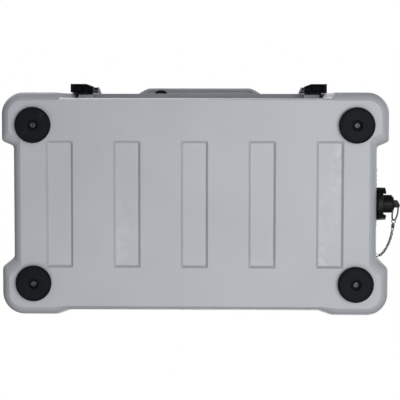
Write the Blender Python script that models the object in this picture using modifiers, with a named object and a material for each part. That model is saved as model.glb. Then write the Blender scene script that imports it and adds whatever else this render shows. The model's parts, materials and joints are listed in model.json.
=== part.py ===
"""Hard-sided ice chest with a hinged lid, modelled in metres as it stands on its four feet.

+Z is up, the latches face -Y and the drain is on the +X end. The origin is on the floor
under the middle of the chest.
"""
import math

import bmesh
import bpy
from mathutils import Matrix, Vector

# Overall sizes of the tub and lid.
BODY_LENGTH = 0.668        # over the corner pillars at the base
BODY_DEPTH = 0.385         # over the corner pillars at the base
BASE_HEIGHT = 0.012        # underside of the tub above the floor
RIM_HEIGHT = 0.330         # top of the tub's rim above the floor
SEAM = 0.003               # slot between the rim and the lid
LID_HEIGHT = 0.067
WALL_LEAN = 0.003          # each wall leans out this far from base to rim
CORNER_RADIUS = 0.038
BASE_ROUND = 0.012
LID_ROUND = 0.012
RIM_BREAK = 0.002
SKIN = 0.004               # moulded plastic wall
GAP = 0.0003               # clearance between pieces that touch
RUNNING_GAP = 0.0005       # clearance beside a part that turns

# Recesses between the corner pillars.
END_RECESS = 0.0206
FACE_RECESS = 0.010
FACE_PILLAR = 0.0975       # pillar width along X
FRONT_PILLAR = 0.084       # pillar width along Y at the front
REAR_PILLAR = 0.0826
FRONT_STEP = 0.003
REAR_STEP = 0.022
END_FRONT_STEP = 0.0085
END_REAR_STEP = 0.0165
RIM_BAND = 0.030           # from the recesses' top to the rim
RECESS_TOP = RIM_HEIGHT - RIM_BAND
RECESS_SLOPE = 0.010

# Sunk panels in the underside.
PANEL_COUNT = 5
PANEL_END_MARGIN = 0.0435  # from the tub's end to where the row of panels starts
PANEL_SIDE_MARGIN = 0.083  # from the front or the rear to the panels
PANEL_PITCH = (BODY_LENGTH - 2 * PANEL_END_MARGIN) / PANEL_COUNT
PANEL_RIDGE = 0.0716       # between two panels
PANEL_WIDTH = PANEL_PITCH - PANEL_RIDGE
PANEL_LENGTH = BODY_DEPTH - 2 * PANEL_SIDE_MARGIN
PANEL_DEPTH = 0.005
PANEL_SLOPE = 0.006

# Inside of the tub.
END_WALL = 0.072           # end wall over its pillars, at the floor
FACE_WALL = 0.0625         # front or rear wall over its pillars, at the floor
CAVITY_LENGTH = BODY_LENGTH - 2 * END_WALL
CAVITY_DEPTH = BODY_DEPTH - 2 * FACE_WALL
CAVITY_LEAN = 0.014
CAVITY_FLOOR = 0.058
CAVITY_RADIUS = 0.035
TROUGH_LENGTH = 0.060
TROUGH_WIDTH = 0.048
TROUGH_FLOOR = 0.034
FLOOR_SKIN = 0.005

# Feet.
FOOT_RADIUS = 0.031
FOOT_SETBACK_X = 0.0572    # from the tub's end to a foot's middle
FOOT_SETBACK_Y = 0.0563
FOOT_PITCH_X = BODY_LENGTH - 2 * FOOT_SETBACK_X
FOOT_PITCH_Y = BODY_DEPTH - 2 * FOOT_SETBACK_Y
FOOT_BEVEL = 0.002
FOOT_POCKET_RADIUS = 0.008
FOOT_POCKET_DEPTH = 0.0055
SCREW_RADIUS = 0.0027
SCREW_HEAD_RADIUS = 0.0058
SCREW_HEAD_HEIGHT = 0.003
SCREW_REACH = 0.016        # thread above the tub's underside
BOSS_RADIUS = 0.009

# Lid underside: plug that drops into the cavity, gasket around it, lip at the front.
LID_PLUG_DROP = 0.018
LID_PLUG_GAP = 0.006
GASKET_OFFSET = 0.008      # from the cavity's edge to the gasket
GASKET_WIDTH = 0.008
GASKET_GROOVE = 0.002
LIP_WIDTH = 0.238
LIP_REACH = 0.011
LIP_HEIGHT = 0.018
LIP_ROUND = 0.009
PORT_RADIUS = 0.009        # foam filling ports
PORT_CAP_RADIUS = 0.014
PORT_CAP_HEIGHT = 0.0022
PORT_STEM = 0.0018
LID_PORT_X = -0.075
LID_PORT_SETBACK = 0.0065  # from the lid's front wall to the port
TUB_PORT_DROP = 0.090      # from the rim to the port in the rear wall
TUB_PORT_Z = RIM_HEIGHT - TUB_PORT_DROP

# Lid hinge.
HINGE_SETBACK = 0.144      # from the tub's end to a hinge's middle
HINGE_X = BODY_LENGTH / 2 - HINGE_SETBACK
HINGE_RADIUS = 0.008
HINGE_PIN_RADIUS = 0.003
LID_KNUCKLE = 0.040
TUB_KNUCKLE = 0.022
KNUCKLE_ROOT = 0.005       # depth that a knuckle is rooted in its wall
KNUCKLE_DROP = 0.024
KNUCKLE_TURN = 230         # degrees of the knuckle's round that stand clear of the wall

# Latches.
LATCH_SETBACK = 0.1118     # from the tub's end to a latch's middle
LATCH_X = BODY_LENGTH / 2 - LATCH_SETBACK
LATCH_WIDTH = 0.0427
LATCH_PIVOT_RISE = 0.019   # above the lid's underside
LATCH_PIVOT_REACH = 0.007  # in front of the lid's wall
LATCH_EYE_RADIUS = 0.006
LATCH_PIN_RADIUS = 0.0025
LATCH_STRAP = 0.0065
LATCH_CLEARANCE = 0.0015   # between the latch and the tub's front
LATCH_LENGTH = 0.090       # from the pivot to the pull
LATCH_PULL = 0.034
LATCH_PULL_DEPTH = 0.016
LATCH_PAD_REACH = 0.004    # behind the strap, in the front recess
LATCH_PAD_HEIGHT = 0.004
LATCH_PAD_GAP = 0.001      # beside the front pillar
LATCH_EAR = 0.006
LATCH_EAR_ROUND = 0.007
NOSE_INSET = 0.018         # from the front recess's end to the nose's middle
NOSE_X = BODY_LENGTH / 2 - FACE_PILLAR - FRONT_STEP - NOSE_INSET
NOSE_WIDTH = 0.016
NOSE_HEIGHT = 0.012
NOSE_REACH = 0.006
NOSE_LIFT = 0.012          # above the latch's lower end
KEEPER_CHEEK = 0.004
KEEPER_PLATE = 0.003
KEEPER_HEIGHT = 0.026
KEEPER_PLAY = 0.002        # between the nose and each cheek

# Carrying handles.
HANDLE_PIVOT_DROP = 0.013  # from the recess's top to the pivot
HANDLE_PIVOT_Z = RECESS_TOP - HANDLE_PIVOT_DROP
END_RECESS_WIDTH = BODY_DEPTH - FRONT_PILLAR - REAR_PILLAR - END_FRONT_STEP - END_REAR_STEP
HANDLE_MARGIN = 0.0367     # from each arm to the end of the recess
HANDLE_SPAN = END_RECESS_WIDTH - 2 * HANDLE_MARGIN
HANDLE_ARM = 0.012
HANDLE_THICKNESS = 0.010
HANDLE_DROP = 0.046
HANDLE_BAR = 0.009
HANDLE_STANDOFF = 0.0095   # from the bracket's plate to the pins
HANDLE_PIN_RADIUS = 0.003
GRIP_RADIUS = 0.0085
GRIP_END_GAP = 0.004
BRACKET_PLATE = 0.003
BRACKET_CHEEK = 0.007
BRACKET_HEIGHT = 0.020

# Drain.
DRAIN_Z = 0.052
DRAIN_GASKET = 0.0015
DRAIN_FLANGE = 0.0095
DRAIN_FLANGE_RADIUS = 0.0285
GUARD_REACH = 0.008
GUARD_WALL = 0.0095
GUARD_OPENING = 0.037
DRAIN_TUBE_RADIUS = 0.0105
DRAIN_BORE_RADIUS = 0.007
DRAIN_NUT_RADIUS = 0.0165
DRAIN_NUT_HEIGHT = 0.007
DRAIN_TUBE_PROUD = 0.001   # inside the nut
SPIGOT_RADIUS = 0.011
SPIGOT_REACH = 0.0112
CAP_RADIUS = 0.0155
CAP_LENGTH = 0.0195
CAP_END = 0.0042
CAP_BEVEL = 0.0015
CAP_SEAL = 0.0018
RIVET_RADIUS = 0.0024
RIVET_HEAD_RADIUS = 0.004
RIVET_HEAD = 0.0012

# Tether between the drain cap and the tub's end wall.
EYE_LENGTH = 0.0107
EYE_WIDTH = 0.0132
EYE_THICKNESS = 0.005
EYE_HOLE_RADIUS = 0.0037
EYE_HOLE_SETBACK = 0.0058  # from the eye's tip
RING_RADIUS = 0.0142
RING_WIRE = 0.0012
RING_SWING = math.radians(8.6)
RING_TILT = math.radians(12)
RING_REST = 0.0017         # pull of the ring's wire off the eye's middle
CLASP_LOOP_RADIUS = 0.0034
CLASP_WIRE = 0.0008
CLASP_RADIUS = 0.0032
CLASP_LENGTH = 0.0079
CLASP_ROOT = 0.0003        # depth of the loop's wire in the barrel
CHAIN_DIAMETER = 0.003
ANCHOR_Y = 0.0895
ANCHOR_DROP = 0.008        # from the drain's middle down to the anchor
ANCHOR_Z = DRAIN_Z - ANCHOR_DROP
ANCHOR_RADIUS = 0.0035
ANCHOR_HEAD = 0.003
ANCHOR_SHANK_RADIUS = 0.002
ANCHOR_SHANK = 0.012
CHAIN_ROUTE = (            # out from the end wall, along it, and up from the drain's middle
    (0.0301, 0.0433, 0.0000),
    (0.0293, 0.0480, -0.0006),
    (0.0282, 0.0532, -0.0020),
    (0.0266, 0.0585, -0.0036),
    (0.0246, 0.0640, -0.0052),
    (0.0222, 0.0696, -0.0066),
    (0.0193, 0.0752, -0.0077),
    (0.0160, 0.0805, -0.0084),
    (0.0124, 0.0850, -0.0087),
    (0.0090, 0.0881, -0.0085),
    (0.0060, 0.0895, -0.0082),
    (0.0034, 0.0897, -0.0080),
)

ROUND_STEPS = 20           # sides of a turned piece
SMALL_STEPS = 12           # sides of one thinner than SMALL_RADIUS
SMALL_RADIUS = 0.0062
WIRE_STEPS = 6
ARC_STEPS = 5              # chords of a corner
TURN_STEPS = 12            # chords of a knuckle, an ear or a lug
EDGE_ROUND_ANGLES = (0, 30, 60, 90)
MERGE_DISTANCE = 0.00001

# Places worked out from the sizes above.
LID_BOTTOM = RIM_HEIGHT + SEAM
LID_TOP = LID_BOTTOM + LID_HEIGHT
RIM_HALF_X = BODY_LENGTH / 2 + WALL_LEAN
RIM_HALF_Y = BODY_DEPTH / 2 + WALL_LEAN
CAVITY_END_X = CAVITY_LENGTH / 2
CAVITY_TOP_X = CAVITY_END_X + CAVITY_LEAN
CAVITY_TOP_Y = CAVITY_DEPTH / 2 + CAVITY_LEAN
HINGE_Y = RIM_HALF_Y + HINGE_RADIUS + RUNNING_GAP
HINGE_Z = RIM_HEIGHT + SEAM / 2
LATCH_PIVOT_Y = -(RIM_HALF_Y + LATCH_PIVOT_REACH)
LATCH_PIVOT_Z = LID_BOTTOM + LATCH_PIVOT_RISE


def wall_lean(z):
    """How far a wall has leaned out at height z."""
    return WALL_LEAN * (z - BASE_HEIGHT) / (RIM_HEIGHT - BASE_HEIGHT)


def end_wall_x(z):
    """Recessed face of the +X end wall at height z."""
    return BODY_LENGTH / 2 - END_RECESS + wall_lean(z)


def face_wall_y(z):
    """Recessed face of the rear wall at height z; the front wall mirrors it."""
    return BODY_DEPTH / 2 - FACE_RECESS + wall_lean(z)


# ---------------------------------------------------------------- scene helpers

def clear_scene():
    for item in list(bpy.data.objects):
        bpy.data.objects.remove(item, do_unlink=True)


def new_collection(name):
    collection = bpy.data.collections.new(name)
    bpy.context.scene.collection.children.link(collection)
    return collection


def new_material(name, colour, roughness, metallic=0.0):
    material = bpy.data.materials.new(name)
    material.use_nodes = True
    shader = material.node_tree.nodes["Principled BSDF"]
    shader.inputs["Base Color"].default_value = (*colour, 1.0)
    shader.inputs["Roughness"].default_value = roughness
    shader.inputs["Metallic"].default_value = metallic
    return material


clear_scene()
PARTS = new_collection("ice_chest")
CUTTERS = new_collection("cutters")
SHELL_GREY = new_material("shell_grey", (0.42, 0.44, 0.47), 0.5)
FOAM = new_material("foam", (0.86, 0.80, 0.60), 0.9)
BLACK_RUBBER = new_material("black_rubber", (0.012, 0.014, 0.018), 0.6)
BLACK_PLASTIC = new_material("black_plastic", (0.02, 0.02, 0.022), 0.45)
STEEL = new_material("steel", (0.62, 0.62, 0.63), 0.3, 1.0)


def add_piece(name, data, material, location=(0, 0, 0), rotation=(0, 0, 0)):
    """Put mesh or curve data into the parts collection as a named piece."""
    piece = bpy.data.objects.new(name, data)
    piece.location = location
    piece.rotation_euler = rotation
    if material is not None:
        data.materials.append(material)
    PARTS.objects.link(piece)
    bpy.context.view_layer.update()
    return piece


def as_tool(piece):
    """Turn a piece into a hidden Boolean operand."""
    PARTS.objects.unlink(piece)
    CUTTERS.objects.link(piece)
    piece.hide_render = True
    piece.display_type = "WIRE"
    return piece


def boolean(piece, tool, operation):
    modifier = piece.modifiers.new(tool.name, "BOOLEAN")
    modifier.operation = operation
    modifier.solver = "EXACT"
    modifier.object = tool


def cut(piece, *tools):
    for tool in tools:
        boolean(piece, as_tool(tool), "DIFFERENCE")


def join(piece, *tools):
    for tool in tools:
        boolean(piece, as_tool(tool), "UNION")


def hold(parent, *pieces):
    """Hang pieces on a joint's empty and leave them where they are."""
    for piece in pieces:
        piece.parent = parent
        piece.matrix_parent_inverse = parent.matrix_world.inverted()


def joint_empty(name, location):
    empty = bpy.data.objects.new(name, None)
    empty.location = location
    PARTS.objects.link(empty)
    bpy.context.view_layer.update()
    return empty


# ---------------------------------------------------------------- shape helpers

ALONG_X = (0, math.pi / 2, 0)
ALONG_Y = (-math.pi / 2, 0, 0)
PROFILE_YZ = (math.pi / 2, 0, math.pi / 2)


def arc(centre, radius, start, end, steps=ARC_STEPS):
    """Points on an arc, with its angles in degrees."""
    points = []
    for step in range(steps + 1):
        angle = math.radians(start + (end - start) * step / steps)
        points.append((centre[0] + radius * math.cos(angle), centre[1] + radius * math.sin(angle)))
    return points


def rounded_rectangle(half_x, half_y, radius):
    points = []
    for index, (side_x, side_y) in enumerate(((1, 1), (-1, 1), (-1, -1), (1, -1))):
        centre = (side_x * (half_x - radius), side_y * (half_y - radius))
        points += arc(centre, radius, 90 * index, 90 * index + 90)
    return points


def loft(name, sections, material):
    """Closed solid through sections, given from the lowest up as (outline, z)."""
    mesh = bmesh.new()
    rings = [[mesh.verts.new((x, y, z)) for x, y in outline] for outline, z in sections]
    count = len(rings[0])
    sides = []
    for lower, upper in zip(rings, rings[1:]):
        for index in range(count):
            after = (index + 1) % count
            sides.append(mesh.faces.new((lower[index], lower[after], upper[after], upper[index])))
    bmesh.ops.triangulate(mesh, faces=sides, quad_method="FIXED")
    mesh.faces.new(list(reversed(rings[0])))
    mesh.faces.new(rings[-1])
    data = bpy.data.meshes.new(name)
    mesh.to_mesh(data)
    mesh.free()
    return add_piece(name, data, material)


def plate(name, outlines, thickness, material, location=(0, 0, 0), rotation=(0, 0, 0)):
    """Flat outline, with any holes as further outlines, given a thickness about its plane."""
    curve = bpy.data.curves.new(name, "CURVE")
    curve.dimensions = "2D"
    curve.fill_mode = "BOTH"
    curve.extrude = thickness / 2
    for outline in outlines:
        spline = curve.splines.new("POLY")
        spline.points.add(len(outline) - 1)
        for point, (x, y) in zip(spline.points, outline):
            point.co = (x, y, 0, 1)
        spline.use_cyclic_u = True
    flat = bpy.data.objects.new(name, curve)
    PARTS.objects.link(flat)
    depsgraph = bpy.context.evaluated_depsgraph_get()
    data = bpy.data.meshes.new_from_object(flat.evaluated_get(depsgraph))
    bpy.data.objects.remove(flat)
    mesh = bmesh.new()
    mesh.from_mesh(data)
    bmesh.ops.remove_doubles(mesh, verts=mesh.verts, dist=MERGE_DISTANCE)
    bmesh.ops.recalc_face_normals(mesh, faces=mesh.faces)
    mesh.to_mesh(data)
    mesh.free()
    return add_piece(name, data, material, location, rotation)


def turned(name, profile, material, location, rotation=(0, 0, 0), ring=False):
    """Solid of revolution about local Z from (radius, height) points, outer side downwards."""
    mesh = bmesh.new()
    points = [mesh.verts.new((radius, 0, height)) for radius, height in profile]
    for first, second in zip(points, points[1:]):
        mesh.edges.new((first, second))
    if ring:
        mesh.edges.new((points[-1], points[0]))
    data = bpy.data.meshes.new(name)
    mesh.to_mesh(data)
    mesh.free()
    piece = add_piece(name, data, material, location, rotation)
    screw = piece.modifiers.new("turn", "SCREW")
    steps = ROUND_STEPS if max(radius for radius, _ in profile) > SMALL_RADIUS else SMALL_STEPS
    screw.steps = steps
    screw.render_steps = steps
    screw.use_merge_vertices = True
    screw.merge_threshold = MERGE_DISTANCE
    return piece


def rod(name, radius, low, high, material, location, rotation=(0, 0, 0)):
    """Round bar along local Z from low to high."""
    profile = [(0, high), (radius, high), (radius, low), (0, low)]
    return turned(name, profile, material, location, rotation)


def block(name, low, high, material=None):
    """Box between two corners."""
    mesh = bmesh.new()
    size = [b - a for a, b in zip(low, high)]
    middle = [(a + b) / 2 for a, b in zip(low, high)]
    bmesh.ops.create_cube(mesh, size=1.0, matrix=Matrix.Diagonal((*size, 1.0)))
    data = bpy.data.meshes.new(name)
    mesh.to_mesh(data)
    mesh.free()
    return add_piece(name, data, material, middle)


# ---------------------------------------------------------------- tub

def pillar_outline(inset, recess, z):
    """Plan of the tub at height z: corner pillars with a recess between each pair.

    inset shrinks the plan evenly, and recess runs from 0 (flush) to 1 (full depth).
    """
    half_x = BODY_LENGTH / 2 + wall_lean(z) - inset
    half_y = BODY_DEPTH / 2 + wall_lean(z) - inset
    radius = CORNER_RADIUS - inset
    end_x = half_x - END_RECESS * recess
    face_y = half_y - FACE_RECESS * recess
    face = BODY_LENGTH / 2 - FACE_PILLAR + inset
    front = -(BODY_DEPTH / 2 - FRONT_PILLAR) - inset
    rear = BODY_DEPTH / 2 - REAR_PILLAR + inset
    points = [(half_x, front), (end_x, front + END_FRONT_STEP)]
    points += [(end_x, rear - END_REAR_STEP), (half_x, rear)]
    points += arc((half_x - radius, half_y - radius), radius, 0, 90)
    points += [(face, half_y), (face - REAR_STEP, face_y)]
    points += [(REAR_STEP - face, face_y), (-face, half_y)]
    points += arc((radius - half_x, half_y - radius), radius, 90, 180)
    points += [(-half_x, rear), (-end_x, rear - END_REAR_STEP)]
    points += [(-end_x, front + END_FRONT_STEP), (-half_x, front)]
    points += arc((radius - half_x, radius - half_y), radius, 180, 270)
    points += [(-face, -half_y), (FRONT_STEP - face, -face_y)]
    points += [(face - FRONT_STEP, -face_y), (face, -half_y)]
    points += arc((half_x - radius, radius - half_y), radius, 270, 360)
    return points


def tub_outside(name, material):
    sections = []
    for angle in reversed(EDGE_ROUND_ANGLES):
        inset = BASE_ROUND * (1 - math.cos(math.radians(angle)))
        z = BASE_HEIGHT + BASE_ROUND * (1 - math.sin(math.radians(angle)))
        sections.append((pillar_outline(inset, 1, z), z))
    for inset, recess, z in (
        (0, 1, RECESS_TOP),
        (0, 0, RECESS_TOP + RECESS_SLOPE),
        (0, 0, RIM_HEIGHT - RIM_BREAK),
        (RIM_BREAK, 0, RIM_HEIGHT),
    ):
        sections.append((pillar_outline(inset, recess, z), z))
    return loft(name, sections, material)


def cavity(name, offset, top):
    """Inside of the tub, grown all round by offset, with the trough that leads to the drain."""
    sections = []
    for z in (CAVITY_FLOOR - offset, top):
        lean = CAVITY_LEAN * (z - CAVITY_FLOOR) / (RIM_HEIGHT - CAVITY_FLOOR)
        half_x = CAVITY_LENGTH / 2 + lean + offset
        half_y = CAVITY_DEPTH / 2 + lean + offset
        sections.append((rounded_rectangle(half_x, half_y, CAVITY_RADIUS + offset), z))
    hollow = loft(name, sections, None)
    trough = block(
        name + "_trough",
        (CAVITY_END_X - TROUGH_LENGTH - offset, -TROUGH_WIDTH / 2 - offset, TROUGH_FLOOR - offset),
        (CAVITY_END_X + offset, TROUGH_WIDTH / 2 + offset, CAVITY_FLOOR + FLOOR_SKIN),
    )
    join(hollow, trough)
    return hollow


def tub_void(name, gap, material):
    """Room between the tub's skins, shrunk by gap all round: the foam's space."""
    inset = SKIN + gap
    floor = BASE_HEIGHT + PANEL_DEPTH + SKIN + gap
    sections = [
        (pillar_outline(inset + FLOOR_SKIN, 1, floor), floor),
        (pillar_outline(inset, 1, floor + FLOOR_SKIN), floor + FLOOR_SKIN),
        (pillar_outline(inset, 1, RECESS_TOP + SKIN), RECESS_TOP + SKIN),
        (pillar_outline(inset, 0, RECESS_TOP + RECESS_SLOPE + SKIN), RECESS_TOP + RECESS_SLOPE + SKIN),
        (pillar_outline(inset, 0, RIM_HEIGHT - FLOOR_SKIN - gap), RIM_HEIGHT - FLOOR_SKIN - gap),
    ]
    void = loft(name, sections, material)
    cut(void, cavity(name + "_core", SKIN + gap, RIM_HEIGHT + SKIN))
    for x, y in foot_places():
        boss = BOSS_RADIUS + gap
        cut(void, rod(name + "_boss", boss, 0, BASE_HEIGHT + SCREW_REACH + SKIN + gap, None, (x, y, 0)))
    return void


def foot_places():
    for x in (-FOOT_PITCH_X / 2, FOOT_PITCH_X / 2):
        for y in (-FOOT_PITCH_Y / 2, FOOT_PITCH_Y / 2):
            yield x, y


def panel_cutter(index):
    """Tapered pocket of one sunk panel."""
    x = (index - (PANEL_COUNT - 1) / 2) * PANEL_PITCH
    sections = []
    for shrink, z in (
        (-PANEL_SLOPE, BASE_HEIGHT - PANEL_DEPTH),
        (PANEL_SLOPE, BASE_HEIGHT + PANEL_DEPTH),
    ):
        half_x = (PANEL_WIDTH - shrink) / 2
        half_y = (PANEL_LENGTH - shrink) / 2
        corners = [(half_x, half_y), (-half_x, half_y), (-half_x, -half_y), (half_x, -half_y)]
        sections.append(([(x + corner_x, y) for corner_x, y in corners], z))
    return loft("panel_cut", sections, None)


def knuckle(name, x, width, wall_side):
    """Hinge knuckle rooted in the tub (wall_side -1) or in the lid (wall_side 1)."""
    root_y = RIM_HALF_Y - KNUCKLE_ROOT
    near = HINGE_Z + wall_side * (SEAM / 2 + GAP)
    far = HINGE_Z + wall_side * KNUCKLE_DROP
    turn = arc((HINGE_Y, HINGE_Z), HINGE_RADIUS, 180, 180 + wall_side * KNUCKLE_TURN, TURN_STEPS)
    outline = [(root_y, near)] + turn + [(root_y, far)]
    return plate(name, [outline], width, SHELL_GREY, (x, 0, 0), PROFILE_YZ)


def hinge_bore(name):
    return rod(name, HINGE_PIN_RADIUS + GAP, -RIM_HALF_X, RIM_HALF_X, None,
               (0, HINGE_Y, HINGE_Z), ALONG_X)


def make_tub():
    shell = tub_outside("tub_shell", SHELL_GREY)
    side = (LID_KNUCKLE + TUB_KNUCKLE) / 2 + RUNNING_GAP
    for hinge_x in (-HINGE_X, HINGE_X):
        for x in (hinge_x - side, hinge_x + side):
            join(shell, knuckle("tub_knuckle", x, TUB_KNUCKLE, -1))
    cut(shell, tub_void("tub_room", 0, None), cavity("tub_inside", 0, RIM_HEIGHT + SKIN))
    for index in range(PANEL_COUNT):
        cut(shell, panel_cutter(index))
    for x, y in foot_places():
        reach = BASE_HEIGHT + SCREW_REACH + GAP
        cut(shell, rod("screw_hole", SCREW_RADIUS + GAP, 0, reach, None, (x, y, 0)))
    drain_hole = rod("drain_hole", DRAIN_TUBE_RADIUS + GAP, 0, BODY_LENGTH / 2, None,
                     (BODY_LENGTH / 4, 0, DRAIN_Z), ALONG_X)
    port = rod("tub_port", PORT_RADIUS, -2 * SKIN, SKIN, None,
               (0, face_wall_y(TUB_PORT_Z), TUB_PORT_Z), ALONG_Y)
    anchor_hole = rod("anchor_hole", ANCHOR_SHANK_RADIUS + GAP, -ANCHOR_SHANK, SKIN, None,
                      (end_wall_x(ANCHOR_Z), ANCHOR_Y, ANCHOR_Z), ALONG_X)
    cut(shell, hinge_bore("tub_hinge_bore"), drain_hole, port, anchor_hole)

    foam = tub_void("tub_foam", GAP, FOAM)
    cut(foam, rod("foam_drain_hole", DRAIN_TUBE_RADIUS + 2 * GAP, 0, BODY_LENGTH / 2, None,
                  (BODY_LENGTH / 4, 0, DRAIN_Z), ALONG_X))
    cut(foam, rod("foam_anchor_hole", ANCHOR_SHANK_RADIUS + 2 * GAP, -ANCHOR_SHANK - GAP, SKIN, None,
                  (end_wall_x(ANCHOR_Z), ANCHOR_Y, ANCHOR_Z), ALONG_X))
    wall = face_wall_y(TUB_PORT_Z + PORT_CAP_RADIUS)
    port_plug("tub_fill_plug", (0, wall + GAP, TUB_PORT_Z), ALONG_Y)


def port_plug(name, location, rotation):
    """Push-in plug: a domed cap whose stem fills a foam port."""
    profile = [
        (0, PORT_CAP_HEIGHT),
        (PORT_CAP_RADIUS - PORT_CAP_HEIGHT, PORT_CAP_HEIGHT),
        (PORT_CAP_RADIUS, PORT_CAP_HEIGHT / 3),
        (PORT_CAP_RADIUS, 0),
        (PORT_RADIUS - GAP, 0),
        (PORT_RADIUS - GAP, -PORT_STEM),
        (0, -PORT_STEM),
    ]
    return turned(name, profile, BLACK_PLASTIC, location, rotation)


def make_feet():
    top = BASE_HEIGHT - GAP
    foot_profile = [
        (SCREW_RADIUS + GAP, top),
        (FOOT_RADIUS - FOOT_BEVEL / 2, top),
        (FOOT_RADIUS, FOOT_BEVEL),
        (FOOT_RADIUS - FOOT_BEVEL, 0),
        (FOOT_POCKET_RADIUS, 0),
        (FOOT_POCKET_RADIUS, FOOT_POCKET_DEPTH),
        (SCREW_RADIUS + GAP, FOOT_POCKET_DEPTH),
    ]
    head_top = FOOT_POCKET_DEPTH - GAP
    head_low = head_top - SCREW_HEAD_HEIGHT
    screw_profile = [
        (0, BASE_HEIGHT + SCREW_REACH),
        (SCREW_RADIUS, BASE_HEIGHT + SCREW_REACH),
        (SCREW_RADIUS, head_top),
        (SCREW_HEAD_RADIUS, head_top),
        (SCREW_HEAD_RADIUS, head_top - SCREW_HEAD_HEIGHT / 2),
        (SCREW_HEAD_RADIUS / 2, head_low),
        (0, head_low),
    ]
    for x, y in foot_places():
        where = ("rear" if y > 0 else "front") + ("_right" if x > 0 else "_left")
        turned("foot_" + where, foot_profile, BLACK_RUBBER, (x, y, 0), ring=True)
        turned("foot_screw_" + where, screw_profile, STEEL, (x, y, 0))


# ---------------------------------------------------------------- lid

def lid_solid(name, inset, material):
    """Outside of the lid, shrunk by inset: the plug below and the domed slab above."""
    plug_x = CAVITY_TOP_X - LID_PLUG_GAP - inset
    plug_y = CAVITY_TOP_Y - LID_PLUG_GAP - inset
    plug_radius = CAVITY_RADIUS - LID_PLUG_GAP
    low = LID_BOTTOM - LID_PLUG_DROP + inset
    bottom = LID_BOTTOM + inset
    half_x = RIM_HALF_X - inset
    half_y = RIM_HALF_Y - inset
    radius = CORNER_RADIUS - inset
    sections = [
        (rounded_rectangle(plug_x - RIM_BREAK, plug_y - RIM_BREAK, plug_radius), low),
        (rounded_rectangle(plug_x, plug_y, plug_radius), low + RIM_BREAK),
        (rounded_rectangle(plug_x, plug_y, plug_radius), bottom),
        (rounded_rectangle(half_x - RIM_BREAK, half_y - RIM_BREAK, radius), bottom),
        (rounded_rectangle(half_x, half_y, radius), bottom + RIM_BREAK),
    ]
    for angle in EDGE_ROUND_ANGLES:
        shrink = LID_ROUND * (1 - math.cos(math.radians(angle)))
        z = LID_TOP - inset - LID_ROUND * (1 - math.sin(math.radians(angle)))
        sections.append((rounded_rectangle(half_x - shrink, half_y - shrink, radius), z))
    return loft(name, sections, material)


def gasket_ring(name, gap, low, high, material):
    """Rectangular ring around the lid's plug, grown by gap on both sides."""
    outer = GASKET_OFFSET + GASKET_WIDTH + gap
    inner = GASKET_OFFSET - gap
    outlines = [
        rounded_rectangle(CAVITY_TOP_X + edge, CAVITY_TOP_Y + edge, CAVITY_RADIUS + edge)
        for edge in (outer, inner)
    ]
    return plate(name, outlines, high - low, material, (0, 0, (low + high) / 2))


def latch_ear(name, x):
    """Cheek on the lid's front that carries one end of a latch pin."""
    root_y = -(RIM_HALF_Y - KNUCKLE_ROOT)
    turn = arc((LATCH_PIVOT_Y, LATCH_PIVOT_Z), LATCH_EAR_ROUND, 90, 270, TURN_STEPS)
    drop = LATCH_EAR_ROUND
    outline = [(root_y, LATCH_PIVOT_Z + drop)] + turn + [(root_y, LATCH_PIVOT_Z - drop)]
    return plate(name, [outline], LATCH_EAR, SHELL_GREY, (x, 0, 0), PROFILE_YZ)


def make_lid(pivot):
    shell = lid_solid("lid_shell", 0, SHELL_GREY)
    reach = RIM_HALF_Y + LIP_REACH
    root = RIM_HALF_Y - KNUCKLE_ROOT
    half = LIP_WIDTH / 2
    lip_outline = [(half, -root), (-half, -root)]
    lip_outline += arc((LIP_ROUND - half, LIP_ROUND - reach), LIP_ROUND, 180, 270)
    lip_outline += arc((half - LIP_ROUND, LIP_ROUND - reach), LIP_ROUND, 270, 360)
    lip_z = LID_BOTTOM + LIP_HEIGHT / 2 + RIM_BREAK
    join(shell, plate("lid_lip", [lip_outline], LIP_HEIGHT, SHELL_GREY, (0, 0, lip_z)))
    ear_offset = (LATCH_WIDTH + LATCH_EAR) / 2 + RUNNING_GAP
    for side in (-1, 1):
        join(shell, knuckle("lid_knuckle", side * HINGE_X, LID_KNUCKLE, 1))
        for offset in (-ear_offset, ear_offset):
            join(shell, latch_ear("latch_ear", side * LATCH_X + offset))
    cut(shell, lid_solid("lid_room", SKIN, None), hinge_bore("lid_hinge_bore"))
    cut(shell, gasket_ring("gasket_groove", GAP, LID_BOTTOM - SKIN, LID_BOTTOM + GASKET_GROOVE, None))
    cut(shell, rod("latch_pin_bore", LATCH_PIN_RADIUS + GAP, -RIM_HALF_X, RIM_HALF_X, None,
                   (0, LATCH_PIVOT_Y, LATCH_PIVOT_Z), ALONG_X))
    port_y = LID_PORT_SETBACK - RIM_HALF_Y
    face = LID_BOTTOM + RIM_BREAK
    cut(shell, rod("lid_port", PORT_RADIUS, -SKIN, 2 * SKIN, None, (LID_PORT_X, port_y, face)))
    cut(shell, rod("lid_port_seat", PORT_CAP_RADIUS + GAP, -SKIN, 0, None, (LID_PORT_X, port_y, face)))
    foam = lid_solid("lid_foam", SKIN + GAP, FOAM)
    gasket_top = LID_BOTTOM + GASKET_GROOVE - GAP
    gasket = gasket_ring("lid_gasket", 0, RIM_HEIGHT + GAP, gasket_top, BLACK_RUBBER)
    plug = port_plug("lid_fill_plug", (LID_PORT_X, port_y, face - GAP), (math.pi, 0, 0))
    hold(pivot, shell, foam, gasket, plug)


def make_hinge_pins():
    half = LID_KNUCKLE / 2 + RUNNING_GAP + TUB_KNUCKLE
    for side, x in (("left", -HINGE_X), ("right", HINGE_X)):
        rod("hinge_pin_" + side, HINGE_PIN_RADIUS, -half, half, STEEL, (x, HINGE_Y, HINGE_Z), ALONG_X)


# ---------------------------------------------------------------- latches

LATCH_INNER_Y = -(RIM_HALF_Y + LATCH_CLEARANCE)
LATCH_LOW = LATCH_PIVOT_Z - LATCH_LENGTH
NOSE_LOW = LATCH_LOW + NOSE_LIFT


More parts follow.
